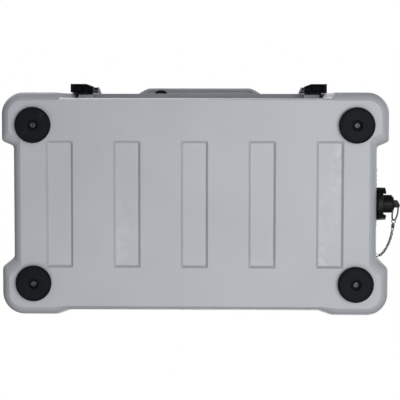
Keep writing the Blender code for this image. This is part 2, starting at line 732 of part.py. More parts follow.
def make_latch(side, sign, lid_pivot):
    x = sign * LATCH_X
    nose_x = sign * NOSE_X
    outer = LATCH_INNER_Y - LATCH_STRAP
    pull = LATCH_INNER_Y - LATCH_PULL_DEPTH
    outline = arc((LATCH_PIVOT_Y, LATCH_PIVOT_Z), LATCH_EYE_RADIUS, 0, 180, TURN_STEPS)
    outline += [(outer, LATCH_PIVOT_Z - LATCH_EYE_RADIUS), (outer, LATCH_LOW + LATCH_PULL)]
    outline += [(pull, LATCH_LOW + LATCH_STRAP), (pull, LATCH_LOW), (LATCH_INNER_Y, LATCH_LOW)]
    outline += [(LATCH_INNER_Y, LATCH_PIVOT_Z - LATCH_EYE_RADIUS)]
    latch = plate("latch_" + side, [outline], LATCH_WIDTH, BLACK_RUBBER, (x, 0, 0), PROFILE_YZ)
    half = NOSE_WIDTH / 2
    join(latch, block(
        "nose",
        (nose_x - half, LATCH_INNER_Y - LATCH_STRAP / 2, NOSE_LOW),
        (nose_x + half, LATCH_INNER_Y + NOSE_REACH, NOSE_LOW + NOSE_HEIGHT),
    ))
    pad_ends = (LATCH_X - LATCH_WIDTH / 2, BODY_LENGTH / 2 - FACE_PILLAR - FRONT_STEP - LATCH_PAD_GAP)
    pad_low, pad_high = sorted(sign * end for end in pad_ends)
    join(latch, block(
        "pad",
        (pad_low, LATCH_INNER_Y - LATCH_STRAP / 2, LATCH_LOW),
        (pad_high, LATCH_INNER_Y + LATCH_PAD_REACH, LATCH_LOW + LATCH_PAD_HEIGHT),
    ))
    bore = rod("latch_bore", LATCH_PIN_RADIUS + GAP, -LATCH_WIDTH, LATCH_WIDTH, None,
               (x, LATCH_PIVOT_Y, LATCH_PIVOT_Z), ALONG_X)
    cut(latch, bore)
    pivot = joint_empty("pivot_latch_" + side, (x, LATCH_PIVOT_Y, LATCH_PIVOT_Z))
    hold(lid_pivot, pivot)
    hold(pivot, latch)
    pin_half = LATCH_WIDTH / 2 + RUNNING_GAP + LATCH_EAR
    pin = rod("latch_pin_" + side, LATCH_PIN_RADIUS, -pin_half, pin_half, STEEL,
              (x, LATCH_PIVOT_Y, LATCH_PIVOT_Z), ALONG_X)
    hold(lid_pivot, pin)


def make_keeper(side, x):
    """Cup on the front wall, open to the front and above, that holds the latch's nose."""
    middle = NOSE_LOW + NOSE_HEIGHT / 2
    back = -(face_wall_y(middle + KEEPER_HEIGHT / 2) + GAP)
    floor = back - KEEPER_PLATE
    front = LATCH_INNER_Y + LATCH_CLEARANCE / 2
    inner = NOSE_WIDTH / 2 + KEEPER_PLAY
    outer = inner + KEEPER_CHEEK
    outline = [
        (-outer, back), (-outer, front), (-inner, front), (-inner, floor),
        (inner, floor), (inner, front), (outer, front), (outer, back),
    ]
    keeper = plate("latch_keeper_" + side, [outline], KEEPER_HEIGHT, SHELL_GREY, (x, 0, middle))
    low = middle - KEEPER_HEIGHT / 2
    join(keeper, block("keeper_floor", (x - outer, front, low), (x + outer, back, low + KEEPER_PLATE)))


# ---------------------------------------------------------------- carrying handles

HANDLE_BACK_X = end_wall_x(HANDLE_PIVOT_Z + BRACKET_HEIGHT / 2) + GAP
HANDLE_AXIS_X = HANDLE_BACK_X + BRACKET_PLATE + HANDLE_STANDOFF
HANDLE_PIN_Y = (HANDLE_SPAN + HANDLE_ARM) / 2


def make_handle(side, sign):
    axis_x = sign * HANDLE_AXIS_X
    half_in = HANDLE_SPAN / 2
    half_out = half_in + HANDLE_ARM
    bar_z = HANDLE_PIVOT_Z - HANDLE_DROP
    bar_low = bar_z - HANDLE_BAR / 2
    bar_high = bar_z + HANDLE_BAR / 2
    outline = [(-half_out, bar_low), (half_out, bar_low)]
    outline += arc((HANDLE_PIN_Y, HANDLE_PIVOT_Z), HANDLE_ARM / 2, 0, 180)
    outline += [(half_in, bar_high), (-half_in, bar_high)]
    outline += arc((-HANDLE_PIN_Y, HANDLE_PIVOT_Z), HANDLE_ARM / 2, 0, 180)
    bail = plate("handle_bail_" + side, [outline], HANDLE_THICKNESS, BLACK_PLASTIC,
                 (axis_x, 0, 0), PROFILE_YZ)
    bore_reach = half_out + HANDLE_ARM
    bore_place = (axis_x, 0, HANDLE_PIVOT_Z)
    bore_radius = HANDLE_PIN_RADIUS + GAP
    cut(bail, rod("bail_bore", bore_radius, -bore_reach, bore_reach, None, bore_place, ALONG_Y))

    grip_half = half_in - GRIP_END_GAP
    grip = rod("handle_grip_" + side, GRIP_RADIUS, -grip_half, grip_half, BLACK_RUBBER,
               (axis_x, 0, bar_z), ALONG_Y)
    slot_x = HANDLE_THICKNESS / 2 + GAP
    slot_z = HANDLE_BAR / 2 + GAP
    cut(grip, block("grip_slot", (axis_x - slot_x, -half_in, bar_z - slot_z),
                    (axis_x + slot_x, half_in, bar_z + slot_z)))

    plate_x = HANDLE_BACK_X + BRACKET_PLATE
    nose_x = HANDLE_AXIS_X + HANDLE_ARM / 2
    cheek_in = half_out + RUNNING_GAP
    cheek_out = cheek_in + BRACKET_CHEEK
    channel = [
        (HANDLE_BACK_X, -cheek_out), (nose_x, -cheek_out), (nose_x, -cheek_in), (plate_x, -cheek_in),
        (plate_x, cheek_in), (nose_x, cheek_in), (nose_x, cheek_out), (HANDLE_BACK_X, cheek_out),
    ]
    bracket = plate("handle_bracket_" + side, [[(sign * x, y) for x, y in channel]],
                    BRACKET_HEIGHT, BLACK_PLASTIC, (0, 0, HANDLE_PIVOT_Z))
    reach = cheek_out + BRACKET_CHEEK
    cut(bracket, rod("bracket_bore", bore_radius, -reach, reach, None, bore_place, ALONG_Y))
    pin_half = (HANDLE_ARM + RUNNING_GAP + BRACKET_CHEEK) / 2
    for end, direction in (("front", -1), ("rear", 1)):
        middle = direction * (half_in + pin_half)
        rod("handle_pin_" + side + "_" + end, HANDLE_PIN_RADIUS, -pin_half, pin_half, STEEL,
            (axis_x, middle, HANDLE_PIVOT_Z), ALONG_Y)
    pivot = joint_empty("pivot_handle_" + side, (axis_x, 0, HANDLE_PIVOT_Z))
    hold(pivot, bail, grip)


# ---------------------------------------------------------------- drain

DRAIN_WALL_X = end_wall_x(DRAIN_Z + DRAIN_FLANGE_RADIUS)
DRAIN_FLANGE_X = DRAIN_WALL_X + DRAIN_GASKET + 2 * GAP
DRAIN_FACE_X = DRAIN_FLANGE_X + DRAIN_FLANGE
SPIGOT_END_X = DRAIN_FACE_X + SPIGOT_REACH
CAP_X = DRAIN_FACE_X + GAP
CAP_END_X = CAP_X + CAP_LENGTH
NUT_X = CAVITY_END_X - GAP
EYE_X = CAP_END_X + GAP
EYE_HOLE_X = EYE_X + EYE_LENGTH - EYE_HOLE_SETBACK


def drain_turned(name, profile, material, ring=True):
    """Piece turned about the drain's axis, with heights measured along +X from the middle."""
    return turned(name, profile, material, (0, 0, DRAIN_Z), ALONG_X, ring)


def washer(name, inner, outer, low, high, material):
    return drain_turned(name, [(inner, high), (outer, high), (outer, low), (inner, low)], material)


def make_drain():
    tube_end = NUT_X - DRAIN_NUT_HEIGHT - DRAIN_TUBE_PROUD
    body = drain_turned("drain_body", [
        (DRAIN_BORE_RADIUS, SPIGOT_END_X),
        (SPIGOT_RADIUS, SPIGOT_END_X),
        (SPIGOT_RADIUS, DRAIN_FACE_X),
        (DRAIN_FLANGE_RADIUS, DRAIN_FACE_X),
        (DRAIN_FLANGE_RADIUS, DRAIN_FLANGE_X),
        (DRAIN_TUBE_RADIUS, DRAIN_FLANGE_X),
        (DRAIN_TUBE_RADIUS, tube_end),
        (DRAIN_BORE_RADIUS, tube_end),
    ], BLACK_PLASTIC)
    guard_low = DRAIN_FACE_X - DRAIN_FLANGE / 2
    guard_high = DRAIN_FACE_X + GUARD_REACH
    guard = washer("drain_guard", DRAIN_FLANGE_RADIUS - GUARD_WALL, DRAIN_FLANGE_RADIUS,
                   guard_low, guard_high, None)
    reach = 2 * DRAIN_FLANGE_RADIUS
    cut(guard, block("guard_opening", (guard_low - GUARD_REACH, -GUARD_OPENING / 2, DRAIN_Z - reach),
                     (guard_high + GUARD_REACH, GUARD_OPENING / 2, DRAIN_Z + reach)))
    join(body, guard)
    washer("drain_gasket", DRAIN_TUBE_RADIUS + GAP, DRAIN_FLANGE_RADIUS - GUARD_WALL / 2,
           DRAIN_WALL_X + GAP, DRAIN_FLANGE_X - GAP, BLACK_RUBBER)
    washer("drain_nut", DRAIN_TUBE_RADIUS + GAP, DRAIN_NUT_RADIUS,
           NUT_X - DRAIN_NUT_HEIGHT, NUT_X, BLACK_PLASTIC)


def make_drain_cap(tether_pivot):
    bore = SPIGOT_RADIUS + RUNNING_GAP
    cap = drain_turned("drain_cap", [
        (RIVET_RADIUS + GAP, CAP_END_X),
        (CAP_RADIUS - CAP_BEVEL, CAP_END_X),
        (CAP_RADIUS, CAP_END_X - CAP_BEVEL),
        (CAP_RADIUS, CAP_X),
        (bore, CAP_X),
        (bore, CAP_END_X - CAP_END),
        (RIVET_RADIUS + GAP, CAP_END_X - CAP_END),
    ], BLACK_PLASTIC)
    seal_low = SPIGOT_END_X + GAP
    seal = washer("drain_cap_seal", DRAIN_BORE_RADIUS, bore - GAP, seal_low, seal_low + CAP_SEAL,
                  BLACK_RUBBER)
    pivot = joint_empty("pivot_drain_cap", (CAP_X, 0, DRAIN_Z))
    hold(tether_pivot, pivot)
    hold(pivot, cap, seal)


def ring_matrix():
    """Axes of the split ring: along the tether, up the tilted plane, and across it."""
    along = Vector((-math.sin(RING_SWING), math.cos(RING_SWING), 0))
    across = Vector((math.cos(RING_SWING), math.sin(RING_SWING), 0))
    up = math.cos(RING_TILT) * Vector((0, 0, 1)) + math.sin(RING_TILT) * across
    return along, Matrix((along, up, along.cross(up))).transposed()


def torus(name, major, minor, material, location, rotation=(0, 0, 0)):
    bpy.ops.mesh.primitive_torus_add(
        major_radius=major, minor_radius=minor, major_segments=ROUND_STEPS, minor_segments=WIRE_STEPS,
    )
    made = bpy.context.object
    data = made.data
    bpy.data.objects.remove(made)
    return add_piece(name, data, material, location, rotation)


def make_tether(pivot):
    half = EYE_WIDTH / 2
    tip = EYE_X + EYE_LENGTH - half
    lug = [(EYE_X, -half)] + arc((tip, 0), half, -90, 90, TURN_STEPS) + [(EYE_X, half)]
    eye = plate("tether_eye", [lug], EYE_THICKNESS, BLACK_PLASTIC, (0, 0, DRAIN_Z))
    head_top = CAP_END_X - CAP_END - GAP
    head_low = head_top - RIVET_HEAD
    join(eye, drain_turned("tether_rivet", [
        (0, EYE_X + RIVET_HEAD / 2),
        (RIVET_RADIUS, EYE_X + RIVET_HEAD / 2),
        (RIVET_RADIUS, head_top),
        (RIVET_HEAD_RADIUS, head_top),
        (RIVET_HEAD_RADIUS, head_low),
        (0, head_low),
    ], None, ring=False))
    cut(eye, rod("eye_hole", EYE_HOLE_RADIUS, -EYE_THICKNESS, EYE_THICKNESS, None,
                 (EYE_HOLE_X, 0, DRAIN_Z)))
    along, axes = ring_matrix()
    near = Vector((EYE_HOLE_X, 0, DRAIN_Z)) + RING_REST * along
    ring = torus("tether_ring", RING_RADIUS, RING_WIRE, STEEL, near + RING_RADIUS * along,
                 axes.to_euler())
    inner = CLASP_LOOP_RADIUS - CLASP_WIRE
    loop_centre = near + (2 * RING_RADIUS + inner - RING_WIRE - GAP) * along
    clasp = torus("tether_clasp", CLASP_LOOP_RADIUS, CLASP_WIRE, STEEL, loop_centre)
    barrel_place = loop_centre + (CLASP_LOOP_RADIUS + CLASP_WIRE - CLASP_ROOT) * along
    barrel = rod("clasp_barrel", CLASP_RADIUS, 0, CLASP_LENGTH, None,
                 barrel_place, (-math.pi / 2, 0, RING_SWING))
    join(clasp, barrel)
    hold(pivot, eye, ring, clasp)


def make_chain():
    wall = end_wall_x(ANCHOR_Z + ANCHOR_RADIUS)
    turned("chain_anchor", [
        (0, ANCHOR_HEAD + GAP),
        (ANCHOR_RADIUS, ANCHOR_HEAD + GAP),
        (ANCHOR_RADIUS, GAP),
        (ANCHOR_SHANK_RADIUS, GAP),
        (ANCHOR_SHANK_RADIUS, SKIN - ANCHOR_SHANK),
        (0, SKIN - ANCHOR_SHANK),
    ], STEEL, (wall, ANCHOR_Y, ANCHOR_Z), ALONG_X)
    curve = bpy.data.curves.new("tether_chain", "CURVE")
    curve.dimensions = "3D"
    curve.bevel_depth = CHAIN_DIAMETER / 2
    curve.bevel_resolution = 2
    curve.use_fill_caps = True
    spline = curve.splines.new("POLY")
    spline.points.add(len(CHAIN_ROUTE) - 1)
    for point, (out, along, up) in zip(spline.points, CHAIN_ROUTE):
        point.co = (DRAIN_WALL_X + out, along, DRAIN_Z + up, 1)
    add_piece("tether_chain", curve, STEEL)


# ---------------------------------------------------------------- assembly

make_tub()
make_feet()
LID_PIVOT = joint_empty("pivot_lid", (0, HINGE_Y, HINGE_Z))
make_lid(LID_PIVOT)
make_hinge_pins()
for name, direction in (("left", -1), ("right", 1)):
    make_latch(name, direction, LID_PIVOT)
    make_keeper(name, direction * NOSE_X)
    make_handle(name, direction)
make_drain()
TETHER_PIVOT = joint_empty("pivot_tether", (EYE_X, 0, DRAIN_Z))
make_drain_cap(TETHER_PIVOT)
make_tether(TETHER_PIVOT)
make_chain()
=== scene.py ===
"""Finished look of the ice chest: fine shells, rubber, steel and the drain's chain, around the frame."""
import json
import math

import bmesh
import bpy
import numpy as np
from mathutils import Matrix, Vector


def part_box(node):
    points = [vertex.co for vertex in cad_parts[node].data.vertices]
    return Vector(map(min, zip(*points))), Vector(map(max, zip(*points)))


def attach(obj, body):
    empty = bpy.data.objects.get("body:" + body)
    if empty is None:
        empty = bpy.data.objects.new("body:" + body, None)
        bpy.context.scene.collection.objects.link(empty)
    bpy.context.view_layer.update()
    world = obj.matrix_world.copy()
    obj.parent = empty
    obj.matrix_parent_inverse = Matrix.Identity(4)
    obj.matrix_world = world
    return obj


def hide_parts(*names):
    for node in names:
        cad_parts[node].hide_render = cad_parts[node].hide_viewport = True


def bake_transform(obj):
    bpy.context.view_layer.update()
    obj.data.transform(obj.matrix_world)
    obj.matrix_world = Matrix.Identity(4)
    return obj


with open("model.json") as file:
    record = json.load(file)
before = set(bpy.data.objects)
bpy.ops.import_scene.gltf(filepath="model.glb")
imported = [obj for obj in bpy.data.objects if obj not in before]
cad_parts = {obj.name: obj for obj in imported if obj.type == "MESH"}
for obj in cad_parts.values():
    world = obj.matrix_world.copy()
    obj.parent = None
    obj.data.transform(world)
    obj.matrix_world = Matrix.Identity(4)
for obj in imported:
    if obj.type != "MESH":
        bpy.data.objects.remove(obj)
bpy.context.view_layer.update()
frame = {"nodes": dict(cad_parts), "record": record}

# Places that the frame gives.
TUB_LOW, TUB_HIGH = (Vector(corner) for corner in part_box("tub_shell"))
LID_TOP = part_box("lid_shell")[1].z
PIVOTS = {joint["name"]: Vector(joint["pos_m"])
          for joint in frame["record"]["behaviour"]["joints"] if "pos_m" in joint}
LID_AXIS = PIVOTS["lid_hinge"]
LATCH_X = PIVOTS["latch_right_hinge"].x
DRAIN_Z = PIVOTS["drain_cap_screw"].z

# Tub sizes, in metres.
LEAN = 0.003
BASE = TUB_LOW.z
RIM = LID_AXIS.z - 0.0015
SEAM = 0.003
HALF_X = TUB_HIGH.x - LEAN
HALF_Y = -TUB_LOW.y - LEAN
CORNER = 0.038
BASE_ROUND = 0.0145         # how far the lower edge's round reaches into the base
TIGHT_ROUND = 0.0022        # radius of its first, tight turn
EDGE_TURN = 24              # degrees that the tight turn covers
TIGHT_SHARE = 0.22          # how much of the round the front recess keeps
REAR_SHARE = 0.6            # how much of it the rear recess keeps
REAR_STEP = 0.022
FRONT_STEP = 0.003
END_RECESS = 0.0206
END_STEP_FRONT = 0.0085
END_STEP_REAR = 0.0165
RECESS_SOFTNESS = 0.005
FACE_RECESS = 0.010
REAR_RECESS = 0.008
FACE_PILLAR = 0.0975
FRONT_PILLAR = 0.084
REAR_PILLAR = 0.0826
RECESS_TOP = 0.300
RECESS_SLOPE = 0.010
PANEL_PITCH = 0.1162
PANEL_WIDTH = 0.0470
PANEL_LENGTH = 0.219
PANEL_DEPTH = 0.005
PANEL_SLOPE = 0.0085
CAVITY_X = 0.262
CAVITY_Y = 0.130
CAVITY_LEAN = 0.014
CAVITY_FLOOR = 0.058
CAVITY_CORNER = 0.035
CAVITY_ROUND = 0.012
CORNER_STEPS = 9
TROUGH_LENGTH = 0.060       # the channel in the cavity's floor that leads to the drain
TROUGH_HALF_WIDTH = 0.024
TROUGH_FLOOR = 0.034
DRAIN_BORE = 0.0108
HINGE_X = 0.190
KNUCKLE_RADIUS = 0.008
KNUCKLE_TURN = 230
TUB_KNUCKLE_WIDTH = 0.022
TUB_KNUCKLE_SPREAD = 0.0315
LID_KNUCKLE_WIDTH = 0.040

# Lid sizes.
LID_ROUND = 0.012
PLUG_CLEARANCE = 0.006
PLUG_CORNER = 0.029
PLUG_X = -0.075
PLUG_INSET = 0.0065
LIP_LENGTH = 0.238
LIP_REACH = 0.011
TURN_MERGE = 1e-6           # points closer than this are one point


# ---------------------------------------------------------------- node helpers

def shader_material(name):
    material = bpy.data.materials.new(name)
    material.use_nodes = True
    tree = material.node_tree
    return material, tree, tree.nodes["Principled BSDF"]


def node(tree, kind, **inputs):
    """New node with values for its inputs, whose names are written with underscores."""
    made = tree.nodes.new(kind)
    for key, value in inputs.items():
        made.inputs[key.replace("_", " ")].default_value = value
    return made


def new_group(name, inputs, outputs):
    """Shader node group with the given sockets, and its input and output nodes."""
    group = bpy.data.node_groups.new(name, "ShaderNodeTree")
    for label, kind, value in inputs:
        socket = group.interface.new_socket(label, in_out="INPUT", socket_type=kind)
        socket.default_value = value
    for label, kind in outputs:
        group.interface.new_socket(label, in_out="OUTPUT", socket_type=kind)
    return group, group.nodes.new("NodeGroupInput"), group.nodes.new("NodeGroupOutput")


def grain_group():
    """Fine moulded grain: a bumped normal and a value that wanders across the surface."""
    group, given, out = new_group(
        "moulded_grain",
        [("Scale", "NodeSocketFloat", 900.0), ("Depth", "NodeSocketFloat", 0.2)],
        [("Normal", "NodeSocketVector"), ("Drift", "NodeSocketFloat")],
    )
    place = group.nodes.new("ShaderNodeTexCoord")
    fine = node(group, "ShaderNodeTexNoise", Detail=4.0, Roughness=0.6)
    broad = node(group, "ShaderNodeTexNoise", Scale=7.0, Detail=5.0, Roughness=0.55)
    bump = node(group, "ShaderNodeBump", Distance=0.0004)
    link = group.links.new
    link(place.outputs["Object"], fine.inputs["Vector"])
    link(place.outputs["Object"], broad.inputs["Vector"])
    link(given.outputs["Scale"], fine.inputs["Scale"])
    link(given.outputs["Depth"], bump.inputs["Strength"])
    link(fine.outputs["Fac"], bump.inputs["Height"])
    link(bump.outputs["Normal"], out.inputs["Normal"])
    link(broad.outputs["Fac"], out.inputs["Drift"])
    return group


def edge_rub_and_highlight_group():
    """Mask that is strong along outer edges and broken up by noise, and one of thin scuffs; the edge mask
    stands for rubbed edges and, on the shell, also paints a highlight line along the rounded edges.
    """
    group, given, out = new_group(
        "edge_rub_and_highlight",
        [("Edge", "NodeSocketFloat", 0.55), ("Scale", "NodeSocketFloat", 60.0)],
        [("Mask", "NodeSocketFloat"), ("Scuffs", "NodeSocketFloat")],
    )
    link = group.links.new
    place = group.nodes.new("ShaderNodeTexCoord")
    shape = group.nodes.new("ShaderNodeNewGeometry")
    edge = node(group, "ShaderNodeMapRange", From_Max=0.62)
    breakup = node(group, "ShaderNodeTexNoise", Detail=6.0, Roughness=0.65)
    chips = node(group, "ShaderNodeMapRange", From_Min=0.42, From_Max=0.66)
    both = group.nodes.new("ShaderNodeMath")
    both.operation = "MULTIPLY"
    stretch = node(group, "ShaderNodeMapping", Scale=(14.0, 150.0, 60.0))
    scratch = node(group, "ShaderNodeTexNoise", Scale=1.0, Detail=3.0, Roughness=0.5)
    thin = node(group, "ShaderNodeMapRange", From_Min=0.66, From_Max=0.72)
    link(given.outputs["Edge"], edge.inputs["From Min"])
    link(shape.outputs["Pointiness"], edge.inputs["Value"])
    link(place.outputs["Object"], breakup.inputs["Vector"])
    link(given.outputs["Scale"], breakup.inputs["Scale"])
    link(breakup.outputs["Fac"], chips.inputs["Value"])
    link(edge.outputs["Result"], both.inputs[0])
    link(chips.outputs["Result"], both.inputs[1])
    link(place.outputs["Object"], stretch.inputs["Vector"])
    link(stretch.outputs["Vector"], scratch.inputs["Vector"])
    link(scratch.outputs["Fac"], thin.inputs["Value"])
    link(both.outputs["Value"], out.inputs["Mask"])
    link(thin.outputs["Result"], out.inputs["Scuffs"])
    return group


GRAIN = grain_group()
EDGE_RUB_AND_HIGHLIGHT = edge_rub_and_highlight_group()


def use_group(tree, group, **inputs):
    made = tree.nodes.new("ShaderNodeGroup")
    made.node_tree = group
    for key, value in inputs.items():
        made.inputs[key].default_value = value
    return made


def mix_colours(tree, factor, first, second):
    """Colour that goes from first, a colour or a socket, to the colour second as factor rises."""
    mix = tree.nodes.new("ShaderNodeMix")
    mix.data_type = "RGBA"
    tree.links.new(factor, mix.inputs["Factor"])
    if isinstance(first, tuple):
        mix.inputs[6].default_value = (*first, 1.0)
    else:
        tree.links.new(first, mix.inputs[6])
    mix.inputs[7].default_value = (*second, 1.0)
    return mix.outputs[2]


def finish_material(name, dark, light, rub_and_highlight_colour, rough, grain, edge, metallic=0.0, gloss=0.5):
    """Material whose colour drifts from dark to light and turns to a lighter edge colour on outer edges
    and scuffs; the edge colour stands for rubbing, and where the edge mask starts low, as on the shell, it
    also paints a highlight along rounded edges.

    rough is a range, grain is (scale, depth) and edge is (where the edge colour starts, scale, scuff
    strength).
    """
    material, tree, shader = shader_material(name)
    link = tree.links.new
    texture = use_group(tree, GRAIN, Scale=grain[0], Depth=grain[1])
    rub_and_highlight = use_group(tree, EDGE_RUB_AND_HIGHLIGHT, Edge=edge[0], Scale=edge[1])
    drift = node(tree, "ShaderNodeMapRange", From_Min=0.35, From_Max=0.65)
    link(texture.outputs["Drift"], drift.inputs["Value"])
    body = mix_colours(tree, drift.outputs["Result"], dark, light)
    scuffed = tree.nodes.new("ShaderNodeMath")
    scuffed.operation = "MULTIPLY"
    scuffed.inputs[1].default_value = edge[2]
    link(rub_and_highlight.outputs["Scuffs"], scuffed.inputs[0])
    rub_and_highlight_mask = tree.nodes.new("ShaderNodeMath")
    rub_and_highlight_mask.operation = "MAXIMUM"
    link(rub_and_highlight.outputs["Mask"], rub_and_highlight_mask.inputs[0])
    link(scuffed.outputs["Value"], rub_and_highlight_mask.inputs[1])
    link(mix_colours(tree, rub_and_highlight_mask.outputs["Value"], body, rub_and_highlight_colour), shader.inputs["Base Color"])
    roughness = node(tree, "ShaderNodeMapRange", To_Min=rough[0], To_Max=rough[1])
    link(texture.outputs["Drift"], roughness.inputs["Value"])
    link(roughness.outputs["Result"], shader.inputs["Roughness"])
    link(texture.outputs["Normal"], shader.inputs["Normal"])
    shader.inputs["Metallic"].default_value = metallic
    shader.inputs["Specular IOR Level"].default_value = gloss
    return material


# Painted highlight: the shell's lighter edge colour, with its edge mask starting low at 0.52, lights a
# thin line along the rounded edges of the base, on top of rubbed edges.
SHELL_PLASTIC = finish_material(
    "shell_plastic", (0.395, 0.415, 0.445), (0.425, 0.445, 0.475), (0.50, 0.515, 0.54),
    (0.42, 0.52), (1100.0, 0.10), (0.52, 55.0, 0.10))
BLACK_RUBBER = finish_material(
    "black_rubber", (0.0036, 0.0046, 0.0064), (0.0058, 0.0070, 0.0092), (0.018, 0.020, 0.024),
    (0.52, 0.68), (1600.0, 0.25), (0.54, 120.0, 0.5), gloss=0.11)
BLACK_PLASTIC = finish_material(
    "black_plastic", (0.0034, 0.0042, 0.0056), (0.0055, 0.0065, 0.0082), (0.022, 0.024, 0.028),
    (0.36, 0.50), (1900.0, 0.12), (0.54, 160.0, 0.6), gloss=0.15)
STAINLESS = finish_material(
    "stainless_steel", (0.42, 0.42, 0.43), (0.60, 0.60, 0.61), (0.74, 0.74, 0.75),
    (0.20, 0.36), (700.0, 0.15), (0.53, 300.0, 0.5), metallic=1.0)
# Painted shade: the stainless screw heads are coloured near black, so that they stay dark in the feet's
# wells instead of reflecting the bright surroundings.
SHADED_SCREW_STEEL = finish_material(
    "screw_steel_painted_shade", (0.045, 0.047, 0.052), (0.080, 0.082, 0.088), (0.30, 0.30, 0.31),
    (0.30, 0.46), (700.0, 0.15), (0.53, 300.0, 0.5), metallic=1.0)
# Painted reflection: the stainless chain, ring and clasp are coloured near black, standing in for the dark
# surroundings that polished steel reflects.
DARK_REFLECTION_CHAIN_STEEL = finish_material(
    "chain_steel_painted_reflection", (0.034, 0.036, 0.040), (0.090, 0.092, 0.098), (0.48, 0.48, 0.50),
    (0.22, 0.40), (900.0, 0.12), (0.50, 420.0, 0.6), metallic=1.0)
FOAM = finish_material(
    "insulating_foam", (0.72, 0.62, 0.40), (0.82, 0.73, 0.50), (0.88, 0.80, 0.60),
    (0.80, 0.95), (420.0, 0.8), (0.58, 90.0, 0.3))


# ---------------------------------------------------------------- mesh helpers

SCENE = bpy.context.scene.collection


def add_object(name, data, material=None):
    made = bpy.data.objects.new(name, data)
    SCENE.objects.link(made)
    if material is not None:
        data.materials.clear()
        data.materials.append(material)
    return made


def mesh_object(name, builder, material=None, smooth=35):
    """Object from a bmesh, with faces smooth except across edges sharper than smooth degrees."""
    data = bpy.data.meshes.new(name)
    builder.to_mesh(data)
    builder.free()
    data.shade_smooth()
    data.set_sharp_from_angle(angle=math.radians(smooth))
    return add_object(name, data, material)


def loft_rings(rings):
    """Closed bmesh through rings of as many (x, y, z) points each, lowest or outermost first."""
    builder = bmesh.new()
    loops = [[builder.verts.new(point) for point in ring] for ring in rings]
    count = len(loops[0])
    for low, high in zip(loops, loops[1:]):
        for index in range(count):
            after = (index + 1) % count
            builder.faces.new((low[index], low[after], high[after], high[index]))
    builder.faces.new(list(reversed(loops[0])))
    builder.faces.new(loops[-1])
    return builder


def lathe(name, profile, place, material, steps=64, smooth=35):
    """Turned solid about local Z from (radius, height) points, laid out by the matrix place."""
    builder = bmesh.new()
    points = [builder.verts.new((radius, 0, height)) for radius, height in profile]
    edges = [builder.edges.new(pair) for pair in zip(points, points[1:])]
    if profile[0][0] > 0:
        edges.append(builder.edges.new((points[-1], points[0])))
    bmesh.ops.spin(builder, geom=points + edges, cent=(0, 0, 0), axis=(0, 0, 1),
                   angle=2 * math.pi, steps=steps, use_merge=True, use_duplicate=False)
    bmesh.ops.remove_doubles(builder, verts=builder.verts, dist=TURN_MERGE)
    bmesh.ops.recalc_face_normals(builder, faces=builder.faces)
    bmesh.ops.transform(builder, matrix=place, verts=builder.verts)
    return mesh_object(name, builder, material, smooth)


def rounded(profile, radius, steps=4):
    """Profile with each inner corner turned into an arc; the ends stay as they are."""
    points = [Vector(profile[0])]
    for before, corner, after in zip(profile, profile[1:], profile[2:]):
        corner = Vector(corner)
        back = Vector(before) - corner
        ahead = Vector(after) - corner
        room = min(radius, back.length * 0.45, ahead.length * 0.45)
        start = corner + back.normalized() * room
        end = corner + ahead.normalized() * room
        for step in range(steps + 1):
            t = step / steps
            points.append((1 - t) ** 2 * start + 2 * t * (1 - t) * corner + t * t * end)
    points.append(Vector(profile[-1]))
    return [tuple(point) for point in points]


def prism(name, outline, depth, place, material, bevel=0.0006, smooth=35):
    """Outline with a thickness about its plane, laid out by place, with rounded edges."""
    low = [(x, y, -depth / 2) for x, y in outline]
    high = [(x, y, depth / 2) for x, y in outline]
    builder = loft_rings([low, high])
    bmesh.ops.recalc_face_normals(builder, faces=builder.faces)
    bmesh.ops.transform(builder, matrix=place, verts=builder.verts)
    made = mesh_object(name, builder, material, smooth)
    if bevel:
        round_edges(made, bevel)
    return made


def round_edges(piece, width, angle=35):
    """Add a bevel to the edges that are sharper than angle degrees."""
    modifier = piece.modifiers.new("round_edges", "BEVEL")
    modifier.width = width
    modifier.segments = 3
    modifier.limit_method = "ANGLE"
    modifier.angle_limit = math.radians(angle)
    modifier.harden_normals = True


def cut(piece, *tools):
    """Cut the shape of each tool out of a piece, and drop the tools."""
    for tool in tools:
        modifier = piece.modifiers.new("cut", "BOOLEAN")
        modifier.operation = "DIFFERENCE"
        modifier.solver = "EXACT"
        modifier.object = tool
    bake_modifiers(piece, *tools)


def bake_modifiers(piece, *tools):
    """Turn a piece's modifiers into its plain mesh, and drop the tools that they used."""
    depsgraph = bpy.context.evaluated_depsgraph_get()
    data = bpy.data.meshes.new_from_object(piece.evaluated_get(depsgraph))
    piece.modifiers.clear()
    old = piece.data
    piece.data = data
    bpy.data.meshes.remove(old)
    for tool in tools:
        bpy.data.objects.remove(tool, do_unlink=True)


def shade_evenly(piece, smooth):
    """Smooth shading with flat faces kept flat, and sharp edges above smooth degrees."""
    piece.data.shade_smooth()
    piece.data.set_sharp_from_angle(angle=math.radians(smooth))
    modifier = piece.modifiers.new("even_shading", "WEIGHTED_NORMAL")
    modifier.keep_sharp = True
    bake_modifiers(piece)


def along_x(x=0.0, y=0.0, z=0.0):
    """Matrix that turns local Z to +X and moves the origin to the given place."""
    return Matrix.Translation((x, y, z)) @ Matrix.Rotation(math.pi / 2, 4, "Y")


def along_y(x=0.0, y=0.0, z=0.0):
    """Matrix that turns local Z to +Y and moves the origin to the given place."""
    return Matrix.Translation((x, y, z)) @ Matrix.Rotation(-math.pi / 2, 4, "X")


def profile_yz(x=0.0):
    """Matrix for an outline drawn in Y and Z, with its thickness along X."""
    turn = Matrix(((0, 0, 1, 0), (1, 0, 0, 0), (0, 1, 0, 0), (0, 0, 0, 1)))
    return Matrix.Translation((x, 0, 0)) @ turn


def show(piece, body, slot, *nodes):
    """Hand a finished piece to its body, in place of the frame's own nodes."""
    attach(piece, body)
    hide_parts(*nodes)


